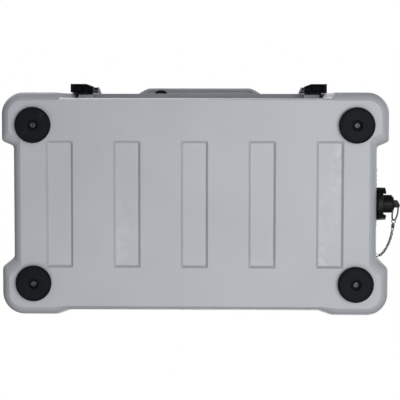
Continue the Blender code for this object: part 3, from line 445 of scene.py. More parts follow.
def arc(centre, radius, start, end, steps=10):
    """Points of a circle from the start angle to the end angle, in degrees."""
    angles = [math.radians(start + (end - start) * step / steps) for step in range(steps + 1)]
    return [(centre[0] + radius * math.cos(a), centre[1] + radius * math.sin(a)) for a in angles]


# ---------------------------------------------------------------- camera, light and stage

def make_camera():
    """Camera under the chest, looking up at its base."""
    data = bpy.data.cameras.new("camera")
    data.lens = 116.3
    data.clip_end = 30.0
    camera = bpy.data.objects.new("camera", data)
    turn = Matrix.Rotation(math.radians(-0.08), 4, "Z")
    turn = turn @ Matrix.Rotation(math.radians(-1.46), 4, "Y")
    turn = turn @ Matrix.Rotation(math.radians(-3.65), 4, "X")
    upward = Matrix(((1, 0, 0, 0), (0, -1, 0, 0), (0, 0, -1, 0), (0, 0, 0, 1)))
    camera.matrix_world = Matrix.Translation((0.0658, -0.1494, -2.2)) @ turn @ upward
    SCENE.objects.link(camera)
    bpy.context.scene.camera = camera


def area_light(name, place, target, size, power):
    data = bpy.data.lights.new(name, "AREA")
    data.shape = "DISK"
    data.size = size
    data.energy = power
    light = bpy.data.objects.new(name, data)
    light.location = place
    aim = Vector(target) - Vector(place)
    light.rotation_euler = aim.to_track_quat("-Z", "Y").to_euler()
    SCENE.objects.link(light)


def make_world():
    """White surroundings whose light is weak from the sides and stronger from above and below."""
    world = bpy.data.worlds.new("studio")
    bpy.context.scene.world = world
    world.use_nodes = True
    tree = world.node_tree
    tree.nodes.clear()
    seen = node(tree, "ShaderNodeBackground", Color=(1.0, 1.0, 1.0, 1.0), Strength=1.0)
    lit = node(tree, "ShaderNodeBackground", Color=(0.97, 0.98, 1.0, 1.0))
    way = tree.nodes.new("ShaderNodeTexCoord")
    axes = tree.nodes.new("ShaderNodeSeparateXYZ")
    height = tree.nodes.new("ShaderNodeMath")
    height.operation = "ABSOLUTE"
    strength = node(tree, "ShaderNodeMapRange", To_Min=0.03, To_Max=0.30)
    tree.links.new(way.outputs["Generated"], axes.inputs["Vector"])
    tree.links.new(axes.outputs["Z"], height.inputs[0])
    tree.links.new(height.outputs["Value"], strength.inputs["Value"])
    tree.links.new(strength.outputs["Result"], lit.inputs["Strength"])
    path = tree.nodes.new("ShaderNodeLightPath")
    mix = tree.nodes.new("ShaderNodeMixShader")
    out = tree.nodes.new("ShaderNodeOutputWorld")
    tree.links.new(path.outputs["Is Camera Ray"], mix.inputs["Fac"])
    tree.links.new(lit.outputs["Background"], mix.inputs[1])
    tree.links.new(seen.outputs["Background"], mix.inputs[2])
    tree.links.new(mix.outputs["Shader"], out.inputs["Surface"])


def make_floor():
    """Pale floor that shows from above only."""
    builder = bmesh.new()
    bmesh.ops.create_grid(builder, x_segments=1, y_segments=1, size=14.0)
    floor = mesh_object("floor", builder)
    material, tree, shader = shader_material("pale_floor")
    shader.inputs["Base Color"].default_value = (0.82, 0.82, 0.82, 1.0)
    shader.inputs["Roughness"].default_value = 0.8
    shape = tree.nodes.new("ShaderNodeNewGeometry")
    clear = tree.nodes.new("ShaderNodeBsdfTransparent")
    mix = tree.nodes.new("ShaderNodeMixShader")
    out = tree.nodes["Material Output"]
    tree.links.new(shape.outputs["Backfacing"], mix.inputs["Fac"])
    tree.links.new(shader.outputs["BSDF"], mix.inputs[1])
    tree.links.new(clear.outputs["BSDF"], mix.inputs[2])
    tree.links.new(mix.outputs["Shader"], out.inputs["Surface"])
    floor.data.materials.append(material)
    floor.visible_shadow = False
    floor.visible_diffuse = False
    floor.visible_glossy = False


make_camera()
make_world()
make_floor()
area_light("under_soft", (0.75, -0.15, -2.1), (0, 0, 0), 1.6, 32.5)
area_light("under_fill", (-0.2, 0.9, -2.0), (0, 0, 0), 1.6, 12.0)
area_light("key", (-1.0, -1.8, 2.4), (0, 0, 0.2), 3.2, 64.0)
area_light("fill", (1.9, -0.4, 2.2), (0, 0, 0.2), 2.4, 26.0)
area_light("back", (0.3, 1.8, 2.4), (0, 0, 0.2), 1.5, 26.0)
bpy.context.scene.view_settings.view_transform = "Standard"


# ---------------------------------------------------------------- repeats and wires

def repeat_group():
    """Puts a piece on every point of a mesh, turned by the point's own Euler angles."""
    group = bpy.data.node_groups.new("repeat_piece", "GeometryNodeTree")
    face = group.interface
    face.new_socket("Points", in_out="INPUT", socket_type="NodeSocketGeometry")
    face.new_socket("Piece", in_out="INPUT", socket_type="NodeSocketObject")
    face.new_socket("Finish", in_out="INPUT", socket_type="NodeSocketMaterial")
    face.new_socket("Result", in_out="OUTPUT", socket_type="NodeSocketGeometry")
    make = group.nodes.new
    given = make("NodeGroupInput")
    piece = make("GeometryNodeObjectInfo")
    turn = make("GeometryNodeInputNamedAttribute")
    turn.data_type = "FLOAT_VECTOR"
    turn.inputs["Name"].default_value = "turn"
    rotation = make("FunctionNodeEulerToRotation")
    place = make("GeometryNodeInstanceOnPoints")
    solid = make("GeometryNodeRealizeInstances")
    paint = make("GeometryNodeSetMaterial")
    out = make("NodeGroupOutput")
    link = group.links.new
    link(given.outputs["Piece"], piece.inputs["Object"])
    link(given.outputs["Points"], place.inputs["Points"])
    link(piece.outputs["Geometry"], place.inputs["Instance"])
    link(turn.outputs["Attribute"], rotation.inputs["Euler"])
    link(rotation.outputs["Rotation"], place.inputs["Rotation"])
    link(place.outputs["Instances"], solid.inputs["Geometry"])
    link(solid.outputs["Geometry"], paint.inputs["Geometry"])
    link(given.outputs["Finish"], paint.inputs["Material"])
    link(paint.outputs["Geometry"], out.inputs["Result"])
    return group


REPEAT = repeat_group()


def repeat(name, piece, places, material):
    """One mesh with a copy of piece at each (point, Euler angles) of places; piece is used up."""
    data = bpy.data.meshes.new(name)
    data.from_pydata([point for point, _ in places], [], [])
    turn = data.attributes.new("turn", "FLOAT_VECTOR", "POINT")
    turn.data.foreach_set("vector", [value for _, angles in places for value in angles])
    made = add_object(name, data)
    modifier = made.modifiers.new("repeat", "NODES")
    modifier.node_group = REPEAT
    sockets = {item.name: item.identifier for item in REPEAT.interface.items_tree
               if item.in_out == "INPUT"}
    modifier[sockets["Piece"]] = piece
    modifier[sockets["Finish"]] = material
    bake_modifiers(made, piece)
    return made


def sweep(name, points, radius, material, sides=10, closed=False):
    """Round wire through points, with flat ends unless it is closed."""
    path = [Vector(point) for point in points]
    count = len(path)
    builder = bmesh.new()
    rings = []
    across = None
    for index, point in enumerate(path):
        before = path[index - 1] if index or closed else point
        after = path[(index + 1) % count] if index + 1 < count or closed else point
        along = (after - before).normalized()
        if across is None:
            across = along.orthogonal().normalized()
        across = (across - across.dot(along) * along).normalized()
        side = along.cross(across)
        ring = []
        for step in range(sides):
            angle = 2 * math.pi * step / sides
            offset = across * math.cos(angle) + side * math.sin(angle)
            ring.append(builder.verts.new(point + radius * offset))
        rings.append(ring)
    pairs = list(zip(rings, rings[1:] + rings[:1]))
    for low, high in pairs if closed else pairs[:-1]:
        for step in range(sides):
            after = (step + 1) % sides
            builder.faces.new((low[step], low[after], high[after], high[step]))
    if not closed:
        builder.faces.new(list(reversed(rings[0])))
        builder.faces.new(rings[-1])
    bmesh.ops.recalc_face_normals(builder, faces=builder.faces)
    return mesh_object(name, builder, material)


def merge_into(piece, *others):
    """Add the meshes of others to a piece's own, and drop them."""
    builder = bmesh.new()
    builder.from_mesh(piece.data)
    for other in others:
        if other.modifiers:
            bake_modifiers(other)
        builder.from_mesh(other.data)
        bpy.data.objects.remove(other, do_unlink=True)
    builder.to_mesh(piece.data)
    builder.free()


def soften(piece, width, smooth=40):
    """Round a piece's sharp edges, bake it, and shade it evenly."""
    round_edges(piece, width, 30)
    bake_modifiers(piece)
    shade_evenly(piece, smooth)


# ---------------------------------------------------------------- tub

def wall_lean(z):
    """How far the wall stands out at height z, because the mould's draft widens it upwards."""
    return LEAN * (z - BASE) / (RIM - BASE)


def soft_vertices(vertices, reach, steps=4):
    """Closed outline with each vertex drawn as a short curve; a pair stays a pair of straight ends."""
    points = []
    count = len(vertices)
    for index, (corner, kind) in enumerate(vertices):
        corner = Vector(corner)
        back = Vector(vertices[index - 1][0]) - corner
        ahead = Vector(vertices[(index + 1) % count][0]) - corner
        size, turns = (kind, 2 * CORNER_STEPS) if kind else (reach, steps)
        room = min(size, back.length * 0.48, ahead.length * 0.48)
        start = corner + back.normalized() * room
        end = corner + ahead.normalized() * room
        for step in range(turns + 1):
            if kind:
                points.append(tuple(round_corner(corner, start, end, step / turns)))
            else:
                t = step / turns
                points.append(tuple((1 - t) ** 2 * start + 2 * t * (1 - t) * corner + t * t * end))
    return points


def round_corner(corner, start, end, share):
    """Point of the quarter circle from start to end whose tangents meet at a square corner."""
    centre = start + end - corner
    angle = share * math.pi / 2
    return centre + (start - centre) * math.cos(angle) + (end - centre) * math.sin(angle)


def pillar_outline(inset, recess, z):
    """Plan of the tub at height z: corner pillars with a recess between each pair."""
    half_x = HALF_X + wall_lean(z) - inset
    half_y = HALF_Y + wall_lean(z) - inset
    end_x = half_x - END_RECESS * recess
    face_y = half_y - FACE_RECESS * recess + (1 - TIGHT_SHARE) * inset * recess
    rear_y = half_y - REAR_RECESS * recess + (1 - REAR_SHARE) * inset * recess
    face = HALF_X - FACE_PILLAR + inset * TIGHT_SHARE
    rear_face = HALF_X - FACE_PILLAR + inset * REAR_SHARE
    front = FRONT_PILLAR - HALF_Y - inset
    rear = HALF_Y - REAR_PILLAR + inset
    radius = CORNER - inset
    vertices = [
        ((half_x, front), 0), ((end_x, front + END_STEP_FRONT), 0), ((end_x, rear - END_STEP_REAR), 0),
        ((half_x, rear), 0), ((half_x, half_y), radius), ((rear_face, half_y), 0),
        ((rear_face - REAR_STEP, rear_y), 0), ((REAR_STEP - rear_face, rear_y), 0),
        ((-rear_face, half_y), 0),
        ((-half_x, half_y), radius), ((-half_x, rear), 0), ((-end_x, rear - END_STEP_REAR), 0),
        ((-end_x, front + END_STEP_FRONT), 0), ((-half_x, front), 0), ((-half_x, -half_y), radius),
        ((-face, -half_y), 0), ((FRONT_STEP - face, -face_y), 0), ((face - FRONT_STEP, -face_y), 0),
        ((face, -half_y), 0), ((half_x, -half_y), radius),
    ]
    return soft_vertices(vertices, RECESS_SOFTNESS)


def rounded_box(half_x, half_y, radius):
    corners = [(half_x, half_y), (-half_x, half_y), (-half_x, -half_y), (half_x, -half_y)]
    return soft_vertices([(corner, radius) for corner in corners], radius)


def loft_object(name, sections, material=None, smooth=35):
    rings = [[(x, y, z) for x, y in outline] for outline, z in sections]
    builder = loft_rings(rings)
    bmesh.ops.recalc_face_normals(builder, faces=builder.faces)
    return mesh_object(name, builder, material, smooth)


def base_profile():
    """(inset, rise) along the tub's lower edge: a tight turn, then one long round up the wall."""
    points = []
    for step in range(5):
        angle = math.radians(EDGE_TURN * step / 4)
        points.append((BASE_ROUND - TIGHT_ROUND * math.sin(angle), TIGHT_ROUND * (1 - math.cos(angle))))
    wide = points[-1][0] / (1 - math.sin(math.radians(EDGE_TURN)))
    rise = points[-1][1] + wide * math.cos(math.radians(EDGE_TURN))
    for step in range(1, 10):
        angle = math.radians(EDGE_TURN + (90 - EDGE_TURN) * step / 9)
        points.append((wide * (1 - math.sin(angle)), rise - wide * math.cos(angle)))
    return points


def tub_outside():
    """Solid outer form: rounded lower edge, recessed sides, and a full rim above them."""
    sections = []
    for inset, rise in base_profile():
        sections.append((pillar_outline(inset, 1, BASE + rise), BASE + rise))
    for share in (0.0, 0.06, 0.2, 0.8, 0.94, 1.0):
        z = RECESS_TOP + RECESS_SLOPE * share
        bend = share * share * (3 - 2 * share)
        sections.append((pillar_outline(0, 1 - bend, z), z))
    for inset, z in ((0, RIM - 0.002), (0.0006, RIM - 0.0006), (0.002, RIM)):
        sections.append((pillar_outline(inset, 0, z), z))
    return loft_object("tub_shell_fine", sections, SHELL_PLASTIC)


def cavity_tool():
    """The room inside the tub, with a rounded floor edge, drafted walls and an open top."""
    sections = []
    for step in range(7):
        angle = math.radians(90 - 15 * step)
        inset = CAVITY_ROUND * (1 - math.cos(angle))
        z = CAVITY_FLOOR + CAVITY_ROUND * (1 - math.sin(angle))
        lean = CAVITY_LEAN * (z - CAVITY_FLOOR) / (RIM - CAVITY_FLOOR)
        outline = rounded_box(CAVITY_X + lean - inset, CAVITY_Y + lean - inset, CAVITY_CORNER - inset)
        sections.append((outline, z))
    top = RIM + 0.004
    lean = CAVITY_LEAN * (top - CAVITY_FLOOR) / (RIM - CAVITY_FLOOR)
    sections.append((rounded_box(CAVITY_X + lean, CAVITY_Y + lean, CAVITY_CORNER), top))
    return loft_object("cavity_tool", sections)


def panel_tool(index):
    """Sunk panel of the base, with sloping sides; the middle one has index 2."""
    x = (index - 2) * PANEL_PITCH
    sections = []
    for shrink, z in ((-PANEL_SLOPE, BASE - PANEL_DEPTH), (PANEL_SLOPE, BASE + PANEL_DEPTH)):
        half_x = (PANEL_WIDTH - shrink) / 2
        half_y = (PANEL_LENGTH - shrink) / 2
        outline = [(px + x, py) for px, py in rounded_box(half_x, half_y, 0.002)]
        sections.append((outline, z))
    return loft_object("panel_tool", sections)


def box_tool(name, low, high):
    """Plain block between two corners."""
    builder = bmesh.new()
    middle = (Vector(low) + Vector(high)) / 2
    size = Matrix.Diagonal((*(Vector(high) - Vector(low)), 1.0))
    bmesh.ops.create_cube(builder, size=1.0, matrix=Matrix.Translation(middle) @ size)
    return mesh_object(name, builder)


def knuckle(name, x, width, side):
    """Hinge knuckle rooted in the tub (side -1) or in the lid (side 1)."""
    root = HALF_Y + LEAN - 0.005
    near = LID_AXIS.z + side * 0.0018
    far = LID_AXIS.z + side * 0.024
    turn = arc((LID_AXIS.y, LID_AXIS.z), KNUCKLE_RADIUS, 180, 180 + side * KNUCKLE_TURN, 28)
    outline = [(root, near)] + turn + [(root, far)]
    return prism(name, outline, width, profile_yz(x), SHELL_PLASTIC, 0.0008)


def make_tub():
    tub = tub_outside()
    panels = [panel_tool(index) for index in range(5)]
    trough = box_tool("trough_tool", (CAVITY_X - TROUGH_LENGTH, -TROUGH_HALF_WIDTH, TROUGH_FLOOR),
                      (CAVITY_X, TROUGH_HALF_WIDTH, CAVITY_FLOOR + 0.002))
    bore = lathe("drain_tool", [(0, 0.10), (DRAIN_BORE, 0.10), (DRAIN_BORE, -0.02), (0, -0.02)],
                 along_x(CAVITY_X, 0, DRAIN_Z), None)
    cut(tub, cavity_tool(), *panels, trough, bore)
    soften(tub, 0.0011, 45)
    knuckles = []
    for hinge_x in (-HINGE_X, HINGE_X):
        for offset in (-TUB_KNUCKLE_SPREAD, TUB_KNUCKLE_SPREAD):
            knuckles.append(knuckle("tub_knuckle", hinge_x + offset, TUB_KNUCKLE_WIDTH, -1))
    merge_into(tub, *knuckles)
    show(tub, "tub", "shell_plastic", "tub_shell")


FOOT_CORNERS = ("front_left", "front_right", "rear_left", "rear_right")


def make_feet():
    """Rubber feet with a stepped rim and a screw well, and the screws inside them."""
    low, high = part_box("foot_front_left")
    radius = (high.x - low.x) / 2
    top = high.z
    profile = rounded([
        (0.0030, top), (radius - 0.001, top), (radius, 0.0028), (radius - 0.0022, 0.0002),
        (radius - 0.0036, 0.0), (radius - 0.0040, 0.0004), (radius - 0.0048, 0.0004),
        (radius - 0.0052, 0.0), (0.0098, 0.0), (0.0082, 0.0012), (0.0080, 0.0055), (0.0030, 0.0055),
    ], 0.0008, 3)
    places = []
    for corner in FOOT_CORNERS:
        low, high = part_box("foot_" + corner)
        middle = (low + high) / 2
        places.append(((middle.x, middle.y, 0.0), (0.0, 0.0, 0.6 * len(places))))
    foot = lathe("foot_one", profile, Matrix(), BLACK_RUBBER, 72, 30)
    feet = repeat("feet_fine", foot, places, BLACK_RUBBER)
    show(feet, "tub", "black_rubber", *["foot_" + corner for corner in FOOT_CORNERS])
    head = rounded([(0, 0.028), (0.0027, 0.028), (0.0027, 0.0052), (0.0058, 0.0052),
                    (0.0058, 0.0038), (0.0040, 0.0023), (0, 0.0022)], 0.0006, 3)
    screw = lathe("screw_one", head, Matrix(), SHADED_SCREW_STEEL, 40, 30)
    socket = lathe("socket_tool", [(0, 0.0042), (0.0019, 0.0042), (0.0019, 0.0), (0, 0.0)],
                   Matrix(), None, 6, 10)
    cut(screw, socket)
    screws = repeat("foot_screws_fine", screw, places, SHADED_SCREW_STEEL)
    show(screws, "tub", "stainless", *["foot_screw_" + corner for corner in FOOT_CORNERS])


def port_plug(name, body, x, y, z, turn, node_name):
    """Low plug with a sunk middle that closes a moulding port; turn points its face outwards."""
    profile = rounded([(0, 0.0022), (0.0118, 0.0022), (0.0140, 0.0008), (0.0140, 0.0),
                       (0.0086, 0.0), (0.0086, -0.0018), (0, -0.0018)], 0.0007, 3)
    plug = lathe(name, profile, Matrix.Translation((x, y, z)) @ turn, BLACK_PLASTIC, 48, 30)
    show(plug, body, "black_plastic", node_name)


# ---------------------------------------------------------------- lid

def lid_outside(half_x, half_y, bottom):
    """Solid lid: a plug that enters the cavity, a full rim and a rounded top edge."""
    plug_x = CAVITY_X + CAVITY_LEAN - PLUG_CLEARANCE
    plug_y = CAVITY_Y + CAVITY_LEAN - PLUG_CLEARANCE
    sections = []
    for inset, z in ((0.004, -0.018), (0.002, -0.0175), (0.0005, -0.0160), (0, -0.0140), (0, 0)):
        sections.append((rounded_box(plug_x - inset, plug_y - inset, PLUG_CORNER), bottom + z))
    for inset, z in ((0.002, 0), (0.0006, 0.0006), (0, 0.002)):
        sections.append((rounded_box(half_x - inset, half_y - inset, CORNER - inset), bottom + z))
    for step in range(11):
        angle = math.radians(9 * step)
        shrink = LID_ROUND * (1 - math.cos(angle))
        z = LID_TOP - LID_ROUND * (1 - math.sin(angle))
        outline = rounded_box(half_x - shrink, half_y - shrink, CORNER - shrink)
        sections.append((outline, z))
    return loft_object("lid_shell_fine", sections, SHELL_PLASTIC)


def make_lid():
    bottom = RIM + SEAM
    half_x = HALF_X + LEAN
    half_y = HALF_Y + LEAN
    lid = lid_outside(half_x, half_y, bottom)
    seat = lathe("seat_tool", [(0, 0.0), (0.0143, 0.0), (0.0143, -0.01), (0, -0.01)],
                 Matrix.Translation((PLUG_X, PLUG_INSET - half_y, bottom + 0.002)), None, 48)
    cut(lid, seat)
    extras = [make_lip(half_y, bottom)]
    for side in (-1, 1):
        extras.append(knuckle("lid_knuckle", side * HINGE_X, LID_KNUCKLE_WIDTH, 1))
        for facing in (-1, 1):
            extras.append(latch_ear(side, facing))
    merge_into(lid, *extras)
    shade_evenly(lid, 35)
    show(lid, "lid", "shell_plastic", "lid_shell")
    port_plug("lid_plug_fine", "lid", PLUG_X, PLUG_INSET - half_y, bottom + 0.0017,
              Matrix.Rotation(math.pi, 4, "X"), "lid_fill_plug")


def make_lip(half_y, bottom):
    """Lip at the lid's front, slanted at its ends and hollowed along its underside for fingers."""
    sections = []
    low = bottom + 0.002
    for inset, z in ((0.0034, 0.0), (0.0010, 0.0008), (0.0, 0.0034), (0.0, 0.0136),
                     (0.0010, 0.0168), (0.0034, 0.018)):
        end = LIP_LENGTH / 2 - inset
        corners = [(end, 0.005 - half_y), (end, -half_y - 0.001),
                   (LIP_LENGTH / 2 - 0.018, inset - half_y - LIP_REACH)]
        outline = [(-x, y) for x, y in corners] + list(reversed(corners))
        vertices = [(corner, 0) for corner in reversed(outline)]
        sections.append((soft_vertices(vertices, 0.006), low + z))
    lip = loft_object("lid_lip", sections, SHELL_PLASTIC)
    hollow = [(-0.106, -half_y - 0.0008), (-0.098, -half_y - 0.0062), (0.098, -half_y - 0.0062),
              (0.106, -half_y - 0.0008)]
    tool = prism("lip_hollow", hollow, 0.014, Matrix.Translation((0, 0, low)), None, 0)
    cut(lip, tool)
    round_edges(lip, 0.0006)
    bake_modifiers(lip)
    return lip


def latch_ear(side, facing):
    """Cheek on the lid's front that carries one end of a latch pin and tapers away from the latch."""
    centre = PIVOTS["latch_left_hinge"]
    low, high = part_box("latch_left")
    near = (high.x - low.x) / 2 + 0.0005
    root = 0.005 - HALF_Y - LEAN
    turn = arc((centre.y, centre.z), 0.007, 90, 270, 20)
    outline = [(root, centre.z + 0.007)] + turn + [(root, centre.z - 0.007)]
    place = profile_yz(side * LATCH_X + facing * (near + 0.003))
    ear = prism("latch_ear", outline, 0.006, place, SHELL_PLASTIC, 0)
    taper = [(near + 0.0012, -0.02), (near + 0.0012, 0.0), (near + 0.0062, 0.0115), (near + 0.0062, -0.02)]
    front = centre.y - 0.007
    points = [(side * LATCH_X + facing * across, front + deep) for across, deep in taper]
    tool = prism("taper_tool", points, 0.05, Matrix.Translation((0, 0, centre.z)), None, 0)
    cut(ear, tool)
    soften(ear, 0.0007)
    return ear


# ---------------------------------------------------------------- latches

LATCH_BACK = -HALF_Y - LEAN - 0.0015
LATCH_FACE = LATCH_BACK - 0.0065
NOSE_X = 0.2155
NOSE_HALF_WIDTH = 0.008
PAD_END = 0.2325


def latch_strap(name, pivot, low, high):
    """Strap with a round head at its pin and a flared pull at its lower end, still solid."""
    outline = arc((pivot.y, pivot.z), 0.006, 0, 180, 24)
    outline += [(LATCH_FACE, pivot.z - 0.006), (LATCH_FACE, low.z + 0.034),
                (low.y + 0.0006, low.z + 0.009), (low.y, low.z + 0.006), (low.y, low.z),
                (LATCH_BACK, low.z), (LATCH_BACK, pivot.z - 0.006)]
    return prism(name, outline, high.x - low.x, profile_yz(pivot.x), BLACK_RUBBER, 0)


def make_latch(side, sign):
    """Rubber latch: a strap with a flared pull that is hollowed from below, a nose and a pad."""
    node_name = "latch_" + side
    low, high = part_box(node_name)
    pivot = PIVOTS[node_name + "_hinge"]
    half = (high.x - low.x) / 2
    latch = latch_strap(node_name + "_fine", pivot, low, high)
    cut(latch, latch_slope_tool(pivot.x, sign, low), latch_hollow_tool(pivot.x, sign, low),
        latch_pocket_tool(pivot.x, sign, low))
    soften(latch, 0.0009)
    ribs = [grip_rib(pivot.x, LATCH_FACE, low.z + 0.040 + 0.0075 * step) for step in range(5)]
    nose = box_tool("nose", (sign * NOSE_X - NOSE_HALF_WIDTH, LATCH_BACK - 0.003, low.z + 0.012),
                    (sign * NOSE_X + NOSE_HALF_WIDTH, LATCH_BACK + 0.006, low.z + 0.024))
    round_edges(nose, 0.0008)
    ends = sorted((sign * (abs(pivot.x) - half), sign * PAD_END))
    pad = box_tool("pad", (ends[0], LATCH_BACK - 0.003, low.z),
                   (ends[1], LATCH_BACK + 0.004, low.z + 0.004))
    round_edges(pad, 0.0006)
    merge_into(latch, nose, pad, *ribs)
    show(latch, node_name, "black_rubber", node_name)


def latch_pin(side):
    """Steel pin whose domed ends stop inside the tapered cheeks."""
    low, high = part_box("latch_" + side)
    centre = PIVOTS["latch_" + side + "_hinge"]
    half = (high.x - low.x) / 2 + 0.0016
    profile = [(0, -half), (0.0021, -half), (0.0025, 0.0004 - half), (0.0025, half - 0.0004),
               (0.0021, half), (0, half)]
    pin = lathe("latch_pin_fine_" + side, profile, along_x(centre.x, centre.y, centre.z),
                STAINLESS, 32, 30)
    show(pin, "lid", "stainless", "latch_pin_" + side)


def latch_slope_tool(x, sign, low):
    """Wedge that slants the pull's inner part back towards the chest."""
    outline = [(0.0085, -0.006), (0.0085, 0.0), (0.0260, 0.0065), (0.0260, -0.006)]
    points = [(x - sign * across, low.y + deep) for across, deep in outline]
    place = Matrix.Translation((0, 0, low.z + 0.018))
    return prism("slope_tool", points, 0.060, place, None, 0)


def latch_hollow_tool(x, sign, low):
    """Arched hollow up into the pull's outer part."""
    middle = x + sign * 0.0055
    half = 0.0092
    outline = [(middle + half, low.y + 0.0135), (middle + half, low.y + 0.0075)]
    outline += arc((middle, low.y + 0.0075), half, 0, -180, 16)[1:]
    outline = [(px, max(py, low.y + 0.0026)) for px, py in outline]
    outline += [(middle - half, low.y + 0.0135)]
    place = Matrix.Translation((0, 0, low.z + 0.001))
    return prism("hollow_tool", outline, 0.022, place, None, 0)


def latch_pocket_tool(x, sign, low):
    """Shallow pocket under the pull's slanted part."""
    outline = [(0.0062, 0.0030), (0.0062, 0.0135), (0.0190, 0.0135), (0.0190, 0.0070)]
    points = [(x - sign * across, low.y + deep) for across, deep in outline]
    place = Matrix.Translation((0, 0, low.z + 0.001))
    return prism("pocket_tool", points, 0.014, place, None, 0)


def grip_rib(x, face, z):
    """Raised bar across the latch's outer face, kept inside the pull's reach."""
    outline = [(-0.017, face + 0.001), (0.017, face + 0.001), (0.016, face - 0.0012),
               (-0.016, face - 0.0012)]
    return prism("grip_rib", [(x + px, y) for px, y in outline], 0.003,
                 Matrix.Translation((0, 0, z)), BLACK_RUBBER, 0.0005)


def fine_plate(name, node_name, body, slot_name, material, width=0.0006):
    """Piece with the CAD node's own shape and rounded edges, for plain brackets and bars."""
    source = frame["nodes"][node_name].data.copy()
    source.name = name
    piece = add_object(name, source, material)
    builder = bmesh.new()
    builder.from_mesh(source)
    bmesh.ops.remove_doubles(builder, verts=builder.verts, dist=TURN_MERGE)
    bmesh.ops.dissolve_limit(builder, angle_limit=0.01, verts=builder.verts, edges=builder.edges)
    builder.to_mesh(source)
    builder.free()
    soften(piece, width)
    show(piece, body, slot_name, node_name)


# ---------------------------------------------------------------- carrying handles

GRIP_RADIUS = 0.0084
GROOVE_RADIUS = 0.0076
GRIP_GROOVES = 12


def make_handle(side):
    """Bail and bracket of plain bars, and a grip with shallow grooves round it."""
    body = "handle_" + side
    fine_plate("bail_fine_" + side, "handle_bail_" + side, body, "black_plastic", BLACK_PLASTIC)
    fine_plate("bracket_fine_" + side, "handle_bracket_" + side, "tub", "black_plastic",
               BLACK_PLASTIC, 0.0008)
    low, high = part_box("handle_grip_" + side)
    middle = (low + high) / 2
    half = (high.y - low.y) / 2
    profile = [(0.0, -half), (0.0070, -half), (0.0082, 1e-3 - half)]
    pitch = (2 * half - 0.008) / GRIP_GROOVES
    for step in range(GRIP_GROOVES):
        start = 0.004 - half + pitch * step
        profile += [(GRIP_RADIUS, start), (GRIP_RADIUS, start + 0.6 * pitch),
                    (GROOVE_RADIUS, start + 0.7 * pitch), (GROOVE_RADIUS, start + 0.9 * pitch)]
    profile += [(GRIP_RADIUS, half - 0.004), (0.0082, half - 1e-3), (0.0070, half), (0.0, half)]
    grip = lathe("grip_fine_" + side, profile, along_y(middle.x, middle.y, middle.z),
                 BLACK_RUBBER, 48, 40)
    show(grip, body, "black_rubber", "handle_grip_" + side)


# ---------------------------------------------------------------- drain

FLANGE_RADIUS = 0.0285
FLANGE_DEPTH = 0.0095
BARREL_RADIUS = 0.0110
BARREL_REACH = 0.0112       # past the flange's face
SHANK_RADIUS = 0.0105
DRAIN_HOLE = 0.0070
EAR_RADIUS = 0.0283
EAR_INNER_RADIUS = 0.0190
EAR_CHORD = 0.0185          # height at which both ears are cut off level
EAR_LENGTH = 0.0070
CAP_RIBS = 22
CAP_RIB_CIRCLE = 0.0145


def make_drain():
    """Flanged drain with a threaded barrel, and an ear on each side of the cap."""
    low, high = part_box("drain_body")
    flange = high.x - BARREL_REACH - FLANGE_DEPTH
    face = flange + FLANGE_DEPTH
    profile = rounded([
        (DRAIN_HOLE, high.x), (BARREL_RADIUS, high.x), (BARREL_RADIUS, face),
        (FLANGE_RADIUS - 0.0015, face), (FLANGE_RADIUS, face - 0.0012), (FLANGE_RADIUS, flange),
        (SHANK_RADIUS, flange), (SHANK_RADIUS, low.x), (DRAIN_HOLE, low.x),
    ], 0.0008, 3)
    body = lathe("drain_body_fine", profile, along_x(0, 0, DRAIN_Z), BLACK_PLASTIC, 96, 35)
    threads = [(0.0109, high.x - 0.0008)]
    for step in range(4):
        x = high.x - 0.0010 - 0.0024 * step
        threads += [(0.0109, x), (0.0114, x - 0.0006), (0.0114, x - 0.0010), (0.0109, x - 0.0016)]
    threads += [(0.0100, threads[-1][1]), (0.0100, high.x - 0.0008)]
    thread = lathe("drain_thread", threads, along_x(0, 0, DRAIN_Z), BLACK_PLASTIC, 64, 20)
    ears = [guard_ear(sign, face) for sign in (-1, 1)]
    merge_into(body, thread, *ears)
    show(body, "tub", "black_plastic", "drain_body")


def guard_ear(sign, face):
    """Curved wall that stands on the flange beside the cap."""
    start = math.degrees(math.asin(EAR_CHORD / EAR_RADIUS))
    bend = math.degrees(math.asin(EAR_CHORD / EAR_INNER_RADIUS))
    outline = arc((0, 0), EAR_RADIUS, start, 180 - start, 28)
    outline += arc((0, 0), EAR_INNER_RADIUS, 180 - bend, bend, 10)
    points = [(-up, sign * across) for up, across in outline]
    place = along_x(face + EAR_LENGTH / 2 - 0.0020, 0, DRAIN_Z)
    return prism("guard_ear", points, EAR_LENGTH, place, BLACK_PLASTIC, 0.0006)


def make_cap():
    """Screw cap with a rolled lower edge and grip ribs round its side."""
    low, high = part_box("drain_cap")
    end = high.x
    profile = rounded([
        (0.0027, end), (0.0118, end), (0.0146, end - 0.0030), (0.0148, low.x + 0.0022),
        (0.0154, low.x + 0.0020), (0.0154, low.x), (0.0115, low.x), (0.0115, end - 0.0042),
        (0.0027, end - 0.0042),
    ], 0.0012, 4)
    cap = lathe("drain_cap_fine", profile, along_x(0, 0, DRAIN_Z), BLACK_PLASTIC, 96, 35)
    length = high.x - low.x - 0.0058
    outline = [(-0.0012, 0.0), (0.0012, 0.0), (0.0007, 0.0010), (-0.0007, 0.0010)]
    rib = prism("cap_rib", outline, length, along_x(), BLACK_PLASTIC, 0.0002)
    bake_modifiers(rib)
    places = []
    for step in range(CAP_RIBS):
        angle = 2 * math.pi * step / CAP_RIBS
        spot = (low.x + 0.0019 + length / 2, CAP_RIB_CIRCLE * math.cos(angle),
                DRAIN_Z + CAP_RIB_CIRCLE * math.sin(angle))
        places.append((spot, (angle - math.pi / 2, 0.0, 0.0)))
    ribs = repeat("drain_cap_ribs", rib, places, BLACK_PLASTIC)
    merge_into(cap, ribs)
    show(cap, "drain_cap", "black_plastic", "drain_cap")


